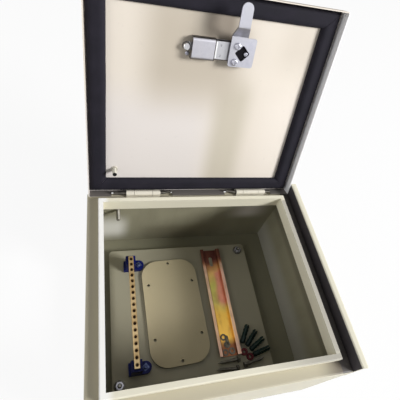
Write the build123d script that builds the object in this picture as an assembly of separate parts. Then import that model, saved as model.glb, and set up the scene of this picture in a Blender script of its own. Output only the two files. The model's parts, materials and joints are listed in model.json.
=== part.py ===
from build123d import *

import os
from math import cos, radians, sin

# Wall-mounted steel utility cabinet, lying on its back with the door swung open.
#
# Frame: +Z is the cabinet's front, +X its mounted top, +Y its hinge side. The origin is the
# centre of the rear face, so z = 0 is the wall that the cabinet is fixed to. All sizes are in mm.
#
# The door and everything on it are drawn shut, in the same frame, and are swung open by
# REST_OPEN_DEG at the end, so that each fit between door and cabinet is read off directly.

# Cabinet body, folded from one sheet
BODY_LENGTH = 320.0  # along X, the mounted height
BODY_WIDTH = 280.0  # along Y
BODY_DEPTH = 145.0  # rear face to flange
SHEET = 1.2
BEND = 2.5  # outer radius of the sheet's folds
BACK_SHEET = 1.5

# Raised lip around the mouth, with its inner hem
FLANGE_WIDTH = 15.0
LIP_HEIGHT = 10.0
LIP_WIDTH = 7.0
HEM_DEPTH = 20.0
LIP_BEND = 1.6

# Openings and holes of the body
GLAND_OPENING = (144.0, 62.0)  # along Y and Z
GLAND_CORNER = 18.0
GLAND_CENTRE_Y = 2.0
GLAND_CENTRE_Z = 72.0
GLAND_HOLE_PITCH = (86.0, 73.4)  # the four side holes, along Y and Z
GLAND_END_PITCH = 156.0  # the two end holes, along Y
GLAND_HOLE_R = 2.25
WALL_HOLE_INSET = (75.0, 45.0)  # from the body's ends and sides, behind the mounting plate
WALL_HOLE_R = 4.25

# Rain eave over the door's upper edge
EAVE_OVERLAP = 25.0
EAVE_RISE = 19.5  # above the flange
EAVE_REACH = 10.0
EAVE_TURN_DOWN = 5.0
EAVE_BEND = 2.0

# Mounting plate and its two studs, at opposite corners
PLATE_SIZE = (244.0, 222.0)
PLATE_CENTRE_X = -7.0
PLATE_SHEET = 2.0
PLATE_CORNER = 6.0
SPACER_LENGTH = 10.0
SPACER_R = 5.5
STUD_R = 3.0
STUD_REACH = 9.0  # above the mounting plate
NEAR_STUD_INSET = (10.0, 15.5)  # from the plate's lower corner at the lock side
FAR_STUD_INSET = (14.0, 12.5)  # from the plate's upper corner at the hinge side
STUD_HOLE_R = 3.4
WASHER_R = 8.0
WASHER_THICK = 1.2
NUT_ACROSS = 10.0
NUT_THICK = 5.0

# Earth studs
EARTH_STUD_LENGTH = 20.0
BODY_EARTH_STUD_INSET = (44.0, 42.0)  # from the lower wall, and below the flange
DOOR_EARTH_STUD_INSET = (11.5, 14.5)  # from the gasket's inner edges, along X and Y
DOOR_EARTH_STUD_LENGTH = 16.0
STUD_COLLAR_R = 4.4
STUD_COLLAR_THICK = 1.6

# Door pan, gasket and hinge line
DOOR_EDGE_GAP = (1.75, 1.5)  # short of the body on each side, along X and Y
DOOR_SHEET = 1.2
DOOR_BEND = 2.0
DOOR_RIM_GAP = 2.5  # flange to the rim's free edge
GASKET_THICK = 7.0
GASKET_WIDTH = 22.0
GASKET_HINGE_WIDTH = 20.0  # along the hinge side
GASKET_GAP = 0.3  # gasket to lip when shut, and to the hinge leaves
GASKET_RIM_GAP = 1.0  # clear of the rim's inner fold
GASKET_UPPER_GAP = 2.7  # the same, along the upper side
HINGE_INSET = 5.0  # hinge axis inside the body's hinge-side wall
HINGE_RISE = 5.5  # hinge axis above the flange
REST_OPEN_DEG = 109.0

# Hinges: two fixed knuckles with the door's knuckle between them, on a removable pin
HINGE_END_INSET = (79.0, 70.0)  # hinge centres, from the body's lower and upper ends
KNUCKLE_R = 4.0
PIN_R = 2.0
PIN_CLEARANCE = 0.08
FIXED_KNUCKLE = 11.5
DOOR_KNUCKLE = 26.0
KNUCKLE_GAP = 0.5
HINGE_FOOT_THICK = 2.0
HINGE_FOOT_INNER = 7.5  # foot's width from the axis towards the mouth
HINGE_SADDLE = 3.2  # knuckle's saddle, from the axis towards the mouth
HINGE_LEAF_THICK = 2.0
PIN_OUTER_REACH = (18.0, 9.0)  # lower hinge, upper hinge
PIN_TAIL = (4.0, 12.0)  # straight run and bent run at the inner end
PIN_TAIL_DEG = 12.0
NOTCH_DEPTH = 10.0
NOTCH_MARGIN = 2.5

# Lock, beside the door's free edge
SPINDLE_X = 28.5
SPINDLE_INSET = 63.5  # from the door's free edge
SPINDLE_R = 8.0
SPINDLE_CLEARANCE = 0.08
PLATE_THICK = 4.0  # outer escutcheon
ESCUTCHEON = (104.0, 32.0)
ESCUTCHEON_CENTRE_X = -5.0
ESCUTCHEON_CORNER = 8.0
ESCUTCHEON_ROUND = 1.2
LOCK_BODY = (74.0, 22.5)
LOCK_BODY_CENTRE_X = 6.0
LOCK_BODY_DEPTH = 7.0  # inside the door's inner face
LOCK_DIMPLE_X = 1.0
LOCK_DIMPLE_PITCH = 12.2
LOCK_DIMPLE_R = 1.5
LOCK_DIMPLE_DEPTH = 1.0
CUTOUT_GAP = 0.5
BUTTON_X = -40.5
BUTTON_R = 6.0
BUTTON_SHAFT_R = 4.4
BUTTON_PROUD = 1.5
BUTTON_HEAD = 2.5
BUTTON_ROUND = 0.8
BUTTON_TRAVEL = 3.0
BUTTON_CLEARANCE = 0.25
BUTTON_TAIL = 7.0  # end of its shaft inside the door
BUTTON_TAIL_ROUND = 1.6
BUTTON_SLOT = 10.0  # width of the door's cut-out from the button to the lock's body
CLAMP_SPAN_X = (-35.0, -6.2)
CLAMP_WIDTH = 26.0
CLAMP_HEIGHT = 11.0
CLAMP_SHEET = 1.5
CLAMP_BEND = 3.2
CLAMP_SCREW_AT = (2.0, 8.5)  # from the button's centre
CLAMP_SCREW_R = 1.6
CLAMP_SCREW_HEAD_R = 2.6
CLAMP_SCREW_HEAD = 1.8
CLAMP_SCREW_GRIP = 2.5  # its length in the escutcheon
PAN_ROUND = 0.6  # a screw head's rounding, as a share of its height
PAN_RECESS = (1.3, 0.25)  # its cross recess, length and width as shares of its radius

# Cam: a cranked plate on the spindle's hub
HUB_R = 16.0
HUB_THICK = 2.5
HUB_POCKET = 1.5  # depth of the spindle's square in the hub
HUB_RUNNING_GAP = 0.3
HUB_SCREW = (5.2, 0.6)  # from the spindle
HUB_SCREW_R = 1.4
HUB_SCREW_HEAD_R = 2.6
HUB_SCREW_HEAD = 1.8
HUB_SCREW_GRIP = 4.0  # its length in the spindle
DRIVE_SQUARE = 6.5
CAM_THICK = 2.0
CAM_BASE = (33.0, 35.0)
CAM_BASE_OFFSET = (-0.2, -1.0)
CAM_HOLE = 14.2  # side of its square hole, which stands on a corner
CAM_HOLE_CORNER = 2.0
CAM_CORNER = 3.0
CAM_BEND = 3.0
CAM_SLOPE_START = 20.0  # from the spindle, towards the free edge
CAM_SLOPE_END = 32.0
CAM_REACH = 58.4
CAM_ROOT_WIDTH = 20.5
TONGUE_WIDTH = 13.8
TONGUE_OFFSET = -10.5
TONGUE_TAPER = 0.6
CAM_SCREWS = ((-7.7, -8.0), (-8.3, 10.9))  # from the spindle
CAM_SCREW_R = 2.0
CAM_SCREW_HEAD_R = 4.2
CAM_SCREW_HEAD = 2.8
TONGUE_CLEARANCE = 0.3  # under the hem when shut

# Swing-out handle on the spindle's outer end
HANDLE_PIVOT_RISE = 7.5
HANDLE_HUB_R = 7.2
HANDLE_WIDTH = 20.0
HANDLE_TIP_WIDTH = 15.0
HANDLE_LENGTH = 60.0
HANDLE_TIP_THICK = 6.0
HANDLE_TIP_CORNER = 4.0
TANG_WIDTH = 6.0
TANG_HALF_LENGTH = 5.0
TANG_ROUND = 4.5
TANG_GAP = 0.2
HANDLE_SLOT = 9.5
HANDLE_PIN_R = 1.5
HANDLE_PIN_INSET = 0.5  # each end, inside the handle's side

# Earth bar on two insulators
BAR_SIZE = (7.8, 166.0, 8.0)
BAR_CENTRE = (-96.0, 1.2)
BAR_LIFT = 25.5  # bar's underside above the mounting plate
BAR_CHAMFER = 0.5
TERMINALS = 18
TERMINAL_HOLE_R = 2.3
TERMINAL_HOLE_RISE = 1.0  # hole's edge above the bar's underside
TERMINAL_WELL_R = 2.8
TERMINAL_WELL_DEPTH = 2.0
TERMINAL_SCREW_R = 2.1
TERMINAL_SCREW_LENGTH = 4.0
TERMINAL_SUNK = 0.8  # screw's head below the bar's top
TERMINAL_SLOT = (1.0, 1.2)  # width and depth
TERMINAL_SLOT_DEG = 45.0
INSULATOR_END_INSET = 4.5  # tower's centre, in from the bar's end
INSULATOR_FOOT = (32.5, 16.5, 8.0)
INSULATOR_FOOT_OFFSET = 6.0
INSULATOR_TOP = (15.0, 15.0)
INSULATOR_FLARE = 0.8  # tower's base along X, over its top
INSULATOR_CHEEK = 3.0
INSULATOR_SCREW_OFFSET = 13.5
INSULATOR_SCREW_R = 2.0
INSULATOR_SCREW_DEG = 35.0
SCREW_HEAD_R = 3.2
SCREW_HEAD = 2.4
SCREW_SOCKET_R = 1.4
SCREW_SOCKET_DEPTH = 1.8
SQUARE_WASHER = 8.0
SQUARE_WASHER_THICK = 1.0

# Loose fittings that lie on the mounting plate
GLAND_PLATE_SIZE = (168.0, 92.0)
GLAND_PLATE_CORNER = 27.0
GLAND_PLATE_SHEET = 1.5
GLAND_GASKET_THICK = 3.0
GLAND_GASKET_BAND = 13.0
GLAND_PLATE_AT = (-30.0, 2.0)
GLAND_PLATE_TURN_DEG = 91.8
RAIL_WIDTH = 35.0
RAIL_WEB = 25.0
RAIL_HEIGHT = 7.5
RAIL_SHEET = 1.0
RAIL_LENGTH = 180.0
RAIL_AT = (46.5, 11.0)
RAIL_TURN_DEG = 0.4
RAIL_SLOT = (18.0, 6.3)
RAIL_SLOT_INSET = 22.0
PLUG_R = 4.0
PLUG_LENGTH = 29.0
PLUG_BORE_R = 2.0
PLUG_RIBS = 5
PLUG_RIB_LENGTH = 2.2
PLUG_RIB_RISE = 0.6
PLUG_SPLIT = 1.2
PLUG_SPLIT_START = 9.7  # from its near end
PLUG_FAN_AT = (54.0, -90.0)
PLUG_FAN_REACH = 32.0  # from the fan's centre to each plug's near end
PLUG_FAN_DEG = (14.0, 29.0, 44.0, 59.0)
FIXING_SHANK_R = 2.4
FIXING_LENGTH = 26.0
FIXING_POINT = 7.0
FIXING_TIP_R = 0.3
FIXING_HEAD_R = 5.0
FIXING_HEAD = 3.4
FIXING_SPOTS = ((44.0, -86.0, 183.0), (40.0, -97.0, 176.0), (76.0, -105.0, -2.0), (82.0, -92.0, 10.0))
FIXING_WASHER = (5.0, 2.6, 1.0)  # outer and inner radius, thickness
FIXING_WASHER_SPOTS = ((41.0, -73.0), (52.0, -72.0), (46.0, -62.0), (42.0, -50.5))
SEAL_WASHER = (5.4, 2.5, 1.8)
SEAL_WASHER_SPOTS = ((71.0, -76.0), (79.0, -84.0))
SEAL_WASHER_STACK = 2

# How far a cut runs past the face that it opens
PAST = 1.0

# Worked-out planes and places
HALF_X = BODY_LENGTH / 2
HALF_Y = BODY_WIDTH / 2
LIP_TOP = BODY_DEPTH + LIP_HEIGHT
LIP_X = HALF_X - FLANGE_WIDTH
LIP_Y = HALF_Y - FLANGE_WIDTH
MOUTH_X = LIP_X - LIP_WIDTH
MOUTH_Y = LIP_Y - LIP_WIDTH
HEM_EDGE = LIP_TOP - HEM_DEPTH
PLATE_TOP = BACK_SHEET + SPACER_LENGTH + PLATE_SHEET
DOOR_X = HALF_X - DOOR_EDGE_GAP[0]
DOOR_Y = HALF_Y - DOOR_EDGE_GAP[1]
DOOR_INNER = LIP_TOP + GASKET_GAP + GASKET_THICK
DOOR_OUTER = DOOR_INNER + DOOR_SHEET
RIM_EDGE = BODY_DEPTH + DOOR_RIM_GAP
HINGE_Y = HALF_Y - HINGE_INSET
HINGE_Z = BODY_DEPTH + HINGE_RISE
HINGE_AXIS = Axis((0, HINGE_Y, HINGE_Z), (1, 0, 0))
HINGE_CENTRES_X = (HINGE_END_INSET[0] - HALF_X, HALF_X - HINGE_END_INSET[1])
SPINDLE_XY = (SPINDLE_X, SPINDLE_INSET - DOOR_Y)
HUB_FACE = DOOR_INNER - LOCK_BODY_DEPTH - HUB_RUNNING_GAP
CAM_FACE = HUB_FACE - HUB_THICK
TONGUE_FACE = HEM_EDGE - TONGUE_CLEARANCE
LOCK_FACE = DOOR_OUTER + PLATE_THICK
PIVOT_Z = LOCK_FACE + HANDLE_PIVOT_RISE
BAR_TOP = PLATE_TOP + BAR_LIFT + BAR_SIZE[2]
TERMINAL_SCREW_TOP = BAR_TOP - TERMINAL_SUNK


def box(x, y, z):
    """A box between the lowest and highest values given for each direction."""
    centre = Pos((x[0] + x[1]) / 2, (y[0] + y[1]) / 2, (z[0] + z[1]) / 2)
    return centre * Box(x[1] - x[0], y[1] - y[0], z[1] - z[0])


def centred_box(half_x, half_y, z):
    """A box centred on the Z axis, between two heights."""
    return box((-half_x, half_x), (-half_y, half_y), z)


def rod(radius, start, direction, length):
    """A round bar from a start point along a direction."""
    return Plane(origin=start, z_dir=direction) * extrude(Circle(radius), length)


def soften(solid, radius, *axes, top=False):
    """Round the edges that run along the given axes, and the highest face's edges if asked."""
    edges = [edge for axis in axes for edge in solid.edges().filter_by(axis)]
    if top:
        edges += list(solid.faces().sort_by(Axis.Z)[-1].edges())
    return fillet(edges, radius)


def folded_strip(points, width, thickness, bend_radius):
    """A strip of sheet, centred on x = 0, whose middle line follows (y, z) points with round bends."""
    path = FilletPolyline(*[(0, y, z) for y, z in points], radius=bend_radius)
    section = Plane(origin=path @ 0, x_dir=(1, 0, 0), z_dir=path % 0) * Rectangle(width, thickness)
    return sweep(section, path=path)


def swung(solid):
    """The door's pieces, turned from shut to the open rest pose."""
    return solid.rotate(HINGE_AXIS, -REST_OPEN_DEG)


# Cabinet body

def grid(pitch):
    """The four corners of a rectangle about the origin, as places."""
    return [(a * pitch[0] / 2, b * pitch[1] / 2) for a in (-1, 1) for b in (-1, 1)]


def gland_holes():
    """The six fixing holes of the gland opening, as (along the wall, up the wall) from its centre."""
    return grid(GLAND_HOLE_PITCH) + [(a * GLAND_END_PITCH / 2, 0) for a in (-1, 1)]


def cabinet_shell():
    """Walls, flange, raised lip and inner hem, all folded from one sheet with welded corners."""
    outer = soften(centred_box(HALF_X, HALF_Y, (0, BODY_DEPTH)), BEND, Axis.Z, top=True)
    room = centred_box(HALF_X - SHEET, HALF_Y - SHEET, (-PAST, BODY_DEPTH - SHEET))
    walls = outer - soften(room, BEND - SHEET, Axis.Z, top=True)
    lip = soften(centred_box(LIP_X, LIP_Y, (BODY_DEPTH - SHEET, LIP_TOP)), LIP_BEND, Axis.Z, top=True)
    lip -= centred_box(LIP_X - SHEET, LIP_Y - SHEET, (0, LIP_TOP - SHEET))
    walls -= centred_box(LIP_X - SHEET, LIP_Y - SHEET, (BODY_DEPTH - 2 * SHEET, LIP_TOP))
    hem = centred_box(MOUTH_X + SHEET, MOUTH_Y + SHEET, (HEM_EDGE, LIP_TOP))
    mouth = centred_box(MOUTH_X, MOUTH_Y, (BODY_DEPTH - HEM_DEPTH, LIP_TOP + PAST))
    shell = walls + lip + hem - mouth
    wall = Plane(origin=(-HALF_X, GLAND_CENTRE_Y, GLAND_CENTRE_Z), x_dir=(0, 1, 0), z_dir=(1, 0, 0))
    cut = RectangleRounded(*GLAND_OPENING, GLAND_CORNER)
    cut += [Pos(a, b) * Circle(GLAND_HOLE_R) for a, b in gland_holes()]
    return shell - extrude(wall * cut, 2 * SHEET, both=True)


def back_panel():
    """Flat rear sheet, welded inside the walls, with four wall-fixing holes."""
    panel = centred_box(HALF_X - SHEET, HALF_Y - SHEET, (0, BACK_SHEET))
    panel = soften(panel, BEND - SHEET, Axis.Z)
    pitch = (BODY_LENGTH - 2 * WALL_HOLE_INSET[0], BODY_WIDTH - 2 * WALL_HOLE_INSET[1])
    return panel - [Pos(*spot) * Cylinder(WALL_HOLE_R, 4 * BACK_SHEET) for spot in grid(pitch)]


def rain_eave():
    """Sheet eave welded on the top wall: a web, a fold outwards and a drip edge."""
    half = SHEET / 2
    top = BODY_DEPTH + EAVE_RISE - half
    inner = HALF_X + half
    tip = HALF_X + EAVE_REACH - half
    points = [(inner, BODY_DEPTH - EAVE_OVERLAP), (inner, top), (tip, top), (tip, top - EAVE_TURN_DOWN)]
    strip = folded_strip(points, BODY_WIDTH, SHEET, EAVE_BEND)
    return Rot(0, 0, -90) * strip


# Mounting plate

def plate_studs_xy():
    """The two stud places, at opposite corners of the mounting plate."""
    half_x, half_y = PLATE_SIZE[0] / 2, PLATE_SIZE[1] / 2
    near = (PLATE_CENTRE_X - half_x + NEAR_STUD_INSET[0], NEAR_STUD_INSET[1] - half_y)
    far = (PLATE_CENTRE_X + half_x - FAR_STUD_INSET[0], half_y - FAR_STUD_INSET[1])
    return [near, far]


def insulator_spots():
    """The two insulators' centres, just inside the earth bar's ends."""
    reach = BAR_SIZE[1] / 2 - INSULATOR_END_INSET
    return [(BAR_CENTRE[0], BAR_CENTRE[1] + a * reach) for a in (-1, 1)]


def mounting_plate():
    """Flat plate with rounded corners, drilled for its studs and for the insulators' screws."""
    sheet = extrude(RectangleRounded(*PLATE_SIZE, PLATE_CORNER), PLATE_SHEET)
    sheet = Pos(PLATE_CENTRE_X, 0, PLATE_TOP - PLATE_SHEET) * sheet
    holes = [(STUD_HOLE_R, x, y) for x, y in plate_studs_xy()]
    holes += [(INSULATOR_SCREW_R, x + INSULATOR_SCREW_OFFSET, y) for x, y in insulator_spots()]
    return sheet - [Pos(x, y, PLATE_TOP) * Cylinder(radius, 4 * PLATE_SHEET) for radius, x, y in holes]


def on_studs(make):
    """One copy of a piece on each stud."""
    return [Pos(x, y) * make() for x, y in plate_studs_xy()]


def plate_stud():
    """Weld stud that stands on the back panel."""
    return rod(STUD_R, (0, 0, BACK_SHEET), (0, 0, 1), PLATE_TOP + STUD_REACH - BACK_SHEET)


def ring(outer_r, inner_r, low, thickness):
    """A flat ring or a sleeve about the Z axis."""
    return Pos(0, 0, low) * extrude(Circle(outer_r) - Circle(inner_r), thickness)


def hex_nut():
    """Hexagon nut with chamfered corners, seated on its washer."""
    body = extrude(RegularPolygon(NUT_ACROSS / 2, 6, major_radius=False), NUT_THICK)
    low_r = NUT_ACROSS / 2 + 2 * NUT_THICK
    cone = Cone(low_r, NUT_ACROSS / 2, NUT_THICK, align=(Align.CENTER, Align.CENTER, Align.MIN))
    nut = body & cone
    return Pos(0, 0, PLATE_TOP + WASHER_THICK) * (nut - Cylinder(STUD_R, 4 * NUT_THICK))


def earth_stud(length):
    """Threaded stud with a welded collar at its root, standing along +Z."""
    return extrude(Circle(STUD_R), length) + extrude(Circle(STUD_COLLAR_R), STUD_COLLAR_THICK)


def body_earth_stud():
    """Earth stud on the hinge-side wall, pointing into the cabinet."""
    x, z = BODY_EARTH_STUD_INSET[0] - HALF_X, BODY_DEPTH - BODY_EARTH_STUD_INSET[1]
    return Pos(x, HALF_Y - SHEET, z) * Rot(90, 0, 0) * earth_stud(EARTH_STUD_LENGTH)


# Door

def notch_spans():
    """The stretches of the door's rim that are cut away for the hinges."""
    half = FIXED_KNUCKLE + KNUCKLE_GAP + DOOR_KNUCKLE / 2
    spans = []
    for index, centre in enumerate(HINGE_CENTRES_X):
        outward = -1 if centre < 0 else 1
        outer_end = centre + outward * (half + PIN_OUTER_REACH[index] + NOTCH_MARGIN)
        inner_end = centre - outward * (half + sum(PIN_TAIL) + NOTCH_MARGIN)
        spans.append((min(outer_end, inner_end), max(outer_end, inner_end)))
    return spans


def lock_cutout(grow):
    """Plan of the lock's body and of its button, joined by a slot, all grown by a gap."""
    body = Pos(LOCK_BODY_CENTRE_X) * Rectangle(LOCK_BODY[0] + 2 * grow, LOCK_BODY[1] + 2 * grow)
    slot = Pos((BUTTON_X + LOCK_BODY_CENTRE_X) / 2) * Rectangle(LOCK_BODY_CENTRE_X - BUTTON_X, BUTTON_SLOT)
    button = Pos(BUTTON_X) * Circle(BUTTON_SHAFT_R + grow)
    return Pos(0, SPINDLE_XY[1]) * (body + slot + button)


def door_pan():
    """Door skin with its rim folded back on all four sides, cut out for hinges and lock."""
    skin = soften(centred_box(DOOR_X, DOOR_Y, (RIM_EDGE, DOOR_OUTER)), DOOR_BEND, Axis.Z, top=True)
    room = centred_box(DOOR_X - DOOR_SHEET, DOOR_Y - DOOR_SHEET, (RIM_EDGE - PAST, DOOR_INNER))
    pan = skin - soften(room, DOOR_BEND - DOOR_SHEET, Axis.Z, top=True)
    for span in notch_spans():
        notch_z = (RIM_EDGE - PAST, RIM_EDGE + NOTCH_DEPTH)
        pan -= box(span, (DOOR_Y - 3 * DOOR_SHEET, DOOR_Y + PAST), notch_z)
    pan -= Pos(0, 0, DOOR_INNER) * extrude(lock_cutout(CUTOUT_GAP), 2 * DOOR_SHEET, both=True)
    return pan - clamp_screw_shank()


def gasket_frame():
    """Outer edges of the gasket as (low x, high x, low y, high y), clear of rim and hinge leaves."""
    side = DOOR_X - DOOR_SHEET
    low_y = GASKET_RIM_GAP + DOOR_SHEET - DOOR_Y
    high_y = DOOR_Y - DOOR_SHEET - HINGE_LEAF_THICK - GASKET_GAP
    return GASKET_RIM_GAP - side, side - GASKET_UPPER_GAP, low_y, high_y


def gasket_window():
    """Inner edges of the gasket, in the same order."""
    low_x, high_x, low_y, high_y = gasket_frame()
    return low_x + GASKET_WIDTH, high_x - GASKET_WIDTH, low_y + GASKET_WIDTH, high_y - GASKET_HINGE_WIDTH


def corners(edges):
    """Corners of a rectangle from its (low x, high x, low y, high y), in order round it."""
    low_x, high_x, low_y, high_y = edges
    return [(low_x, low_y), (high_x, low_y), (high_x, high_y), (low_x, high_y)]


def door_gasket():
    """Foam seal of four strips with mitred corners, stuck to the door's inner face."""
    outer = corners(gasket_frame())
    inner = corners(gasket_window())
    strips = []
    for k in range(4):
        j = (k + 1) % 4
        face = make_face(Polyline(outer[k], outer[j], inner[j], inner[k], close=True))
        strips.append(Pos(0, 0, DOOR_INNER - GASKET_THICK) * extrude(face, GASKET_THICK))
    return strips


def door_earth_stud():
    """Earth stud on the door's inner face."""
    low_x, _, _, high_y = gasket_window()
    x, y = low_x + DOOR_EARTH_STUD_INSET[0], high_y - DOOR_EARTH_STUD_INSET[1]
    return Pos(x, y, DOOR_INNER) * Rot(180, 0, 0) * earth_stud(DOOR_EARTH_STUD_LENGTH)


# Hinges

def knuckle(start_x, length):
    """One knuckle on the hinge axis, with the pin's running bore."""
    return Pos(start_x, HINGE_Y, HINGE_Z) * Rot(0, 90, 0) * ring(KNUCKLE_R, PIN_R + PIN_CLEARANCE, 0, length)


def pin_bore(centre):
    """The bore that runs through all three knuckles of a hinge."""
    start = (centre - 2 * DOOR_KNUCKLE, HINGE_Y, HINGE_Z)
    return rod(PIN_R + PIN_CLEARANCE, start, (1, 0, 0), 4 * DOOR_KNUCKLE)


def hinge_fixed_leaf(centre):
    """Foot on the flange with a knuckle at each end, cut away round the door's knuckle."""
    half = DOOR_KNUCKLE / 2 + KNUCKLE_GAP
    ends = half + FIXED_KNUCKLE
    foot_y = (HINGE_Y - HINGE_FOOT_INNER, HINGE_Y + BEND)
    foot = box((centre - ends, centre + ends), foot_y, (BODY_DEPTH, BODY_DEPTH + HINGE_FOOT_THICK))
    saddle_z = (BODY_DEPTH, HINGE_Z)
    swing = rod(KNUCKLE_R + KNUCKLE_GAP, (centre - half, HINGE_Y, HINGE_Z), (1, 0, 0), 2 * half)
    swing += box((centre - half, centre + half), (HINGE_Y, HALF_Y), (BODY_DEPTH - PAST, HINGE_Z))
    leaf = foot - swing
    for start in (centre - ends, centre + half):
        leaf += knuckle(start, FIXED_KNUCKLE)
        leaf += box((start, start + FIXED_KNUCKLE), (HINGE_Y - HINGE_SADDLE, HINGE_Y + BEND), saddle_z)
    return leaf - pin_bore(centre)


def hinge_door_leaf(centre):
    """T-shaped leaf: a knuckle on the axis and a tab welded inside the door's rim."""
    outer_y = DOOR_Y - DOOR_SHEET
    leaf_y = (outer_y - HINGE_LEAF_THICK, outer_y)
    top = DOOR_INNER - DOOR_BEND
    half = DOOR_KNUCKLE / 2
    wide = half + KNUCKLE_GAP + FIXED_KNUCKLE
    stem = box((centre - half, centre + half), leaf_y, (HINGE_Z, top))
    tab = box((centre - wide, centre + wide), leaf_y, (RIM_EDGE + NOTCH_DEPTH, top))
    return knuckle(centre - half, DOOR_KNUCKLE) + stem + tab - pin_bore(centre)


def hinge_pin(index):
    """Removable pin with a bent tail at its inner end."""
    centre = HINGE_CENTRES_X[index]
    inward = 1 if centre < 0 else -1
    half = DOOR_KNUCKLE / 2 + KNUCKLE_GAP + FIXED_KNUCKLE
    start = centre - inward * (half + PIN_OUTER_REACH[index])
    bend = centre + inward * (half + PIN_TAIL[0])
    run, rise = PIN_TAIL[1] * cos(radians(PIN_TAIL_DEG)), PIN_TAIL[1] * sin(radians(PIN_TAIL_DEG))
    path = FilletPolyline(
        (start, HINGE_Y, HINGE_Z),
        (bend, HINGE_Y, HINGE_Z),
        (bend + inward * run, HINGE_Y + rise, HINGE_Z),
        radius=3 * PIN_R,
    )
    return sweep(Plane(origin=path @ 0, z_dir=path % 0) * Circle(PIN_R), path=path)


# Lock

def on_spindle(x=0, y=0, z=0):
    """A place given from the spindle's centre."""
    return Pos(SPINDLE_XY[0] + x, SPINDLE_XY[1] + y, z)


def lock_housing():
    """Cast housing: escutcheon outside, body through the door, bores for spindle and button."""
    plan = Pos(ESCUTCHEON_CENTRE_X, SPINDLE_XY[1]) * RectangleRounded(*ESCUTCHEON, ESCUTCHEON_CORNER)
    face = Pos(0, 0, DOOR_OUTER) * extrude(plan, PLATE_THICK)
    face = fillet(face.faces().sort_by(Axis.Z)[-1].edges(), ESCUTCHEON_ROUND)
    body = Pos(LOCK_BODY_CENTRE_X, SPINDLE_XY[1]) * Rectangle(*LOCK_BODY)
    inner_face = DOOR_INNER - LOCK_BODY_DEPTH
    housing = face + Pos(0, 0, inner_face) * extrude(body, LOCK_BODY_DEPTH + DOOR_SHEET)
    for side in (-1, 1):
        place = Pos(LOCK_DIMPLE_X, SPINDLE_XY[1] + side * LOCK_DIMPLE_PITCH / 2, inner_face)
        housing -= place * Cylinder(LOCK_DIMPLE_R, 2 * LOCK_DIMPLE_DEPTH)
    housing -= clamp_screw_shank()
    housing -= on_spindle() * Cylinder(SPINDLE_R + SPINDLE_CLEARANCE, 4 * LOCK_FACE)
    housing -= Pos(BUTTON_X, SPINDLE_XY[1]) * Cylinder(BUTTON_SHAFT_R + BUTTON_CLEARANCE, 4 * LOCK_FACE)
    well = LOCK_FACE + BUTTON_PROUD - BUTTON_HEAD - BUTTON_TRAVEL - BUTTON_CLEARANCE
    seat = extrude(Circle(BUTTON_R + BUTTON_CLEARANCE), PLATE_THICK + BUTTON_HEAD)
    return housing - Pos(BUTTON_X, SPINDLE_XY[1], well) * seat


def lock_clamp():
    """Channel that straddles the lock's body and bears on the door's inner face."""
    length = CLAMP_SPAN_X[1] - CLAMP_SPAN_X[0]
    half = CLAMP_WIDTH / 2 - CLAMP_SHEET / 2
    top = DOOR_INNER - CLAMP_HEIGHT + CLAMP_SHEET / 2
    points = [(-half, DOOR_INNER), (-half, top), (half, top), (half, DOOR_INNER)]
    channel = folded_strip(points, length, CLAMP_SHEET, CLAMP_BEND)
    return Pos(sum(CLAMP_SPAN_X) / 2, SPINDLE_XY[1]) * channel


def clamp_screw_place():
    """The small screw's place on the door's inner face, beside the button."""
    return Pos(BUTTON_X + CLAMP_SCREW_AT[0], SPINDLE_XY[1] + CLAMP_SCREW_AT[1], DOOR_INNER)


def clamp_screw_shank():
    """The small screw's shank, through the door into the escutcheon."""
    return clamp_screw_place() * extrude(Circle(CLAMP_SCREW_R), DOOR_SHEET + CLAMP_SCREW_GRIP)


def clamp_screw():
    """Screw that draws the lock on to the door, beside the button."""
    head = clamp_screw_place() * Rot(180, 0, 0) * pan_head(CLAMP_SCREW_HEAD_R, CLAMP_SCREW_HEAD)
    return clamp_screw_shank() + head


def pan_head(radius, height):
    """Domed screw head with a cross recess, rising along +Z."""
    head = extrude(Circle(radius), height)
    head = fillet(head.faces().sort_by(Axis.Z)[-1].edges(), PAN_ROUND * height)
    long, wide = PAN_RECESS[0] * radius, PAN_RECESS[1] * radius
    return head - Pos(0, 0, height) * (Box(long, wide, height) + Box(wide, long, height))


def spindle():
    """Turned spindle: flat tang outside for the handle, square drive inside for the hub."""
    barrel_low = DOOR_INNER - LOCK_BODY_DEPTH
    barrel = on_spindle(z=barrel_low) * extrude(Circle(SPINDLE_R), LOCK_FACE - barrel_low)
    drive_low = HUB_FACE - HUB_POCKET
    drive = on_spindle(z=drive_low) * extrude(Rectangle(DRIVE_SQUARE, DRIVE_SQUARE), barrel_low - drive_low)
    tang_top = PIVOT_Z + TANG_HALF_LENGTH
    tang = on_spindle() * centred_box(TANG_HALF_LENGTH, TANG_WIDTH / 2, (LOCK_FACE, tang_top))
    tang = fillet(tang.faces().sort_by(Axis.Z)[-1].edges().filter_by(Axis.Y), TANG_ROUND)
    return barrel + drive + tang - handle_pin_solid() - hub_screw_shank()


def handle_pin_solid():
    """Cross pin through the tang and both of the handle's cheeks."""
    length = HANDLE_WIDTH - 2 * HANDLE_PIN_INSET
    return rod(HANDLE_PIN_R, (SPINDLE_XY[0], SPINDLE_XY[1] - length / 2, PIVOT_Z), (0, 1, 0), length)


def lock_hub():
    """Disc keyed on the spindle's square, which shows in the cam's hole."""
    disc = on_spindle(z=CAM_FACE) * extrude(Circle(HUB_R), HUB_THICK)
    pocket = on_spindle(z=HUB_FACE) * Box(DRIVE_SQUARE, DRIVE_SQUARE, 2 * HUB_POCKET)
    return disc - pocket - cam_screw_shanks() - hub_screw_shank()


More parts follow.
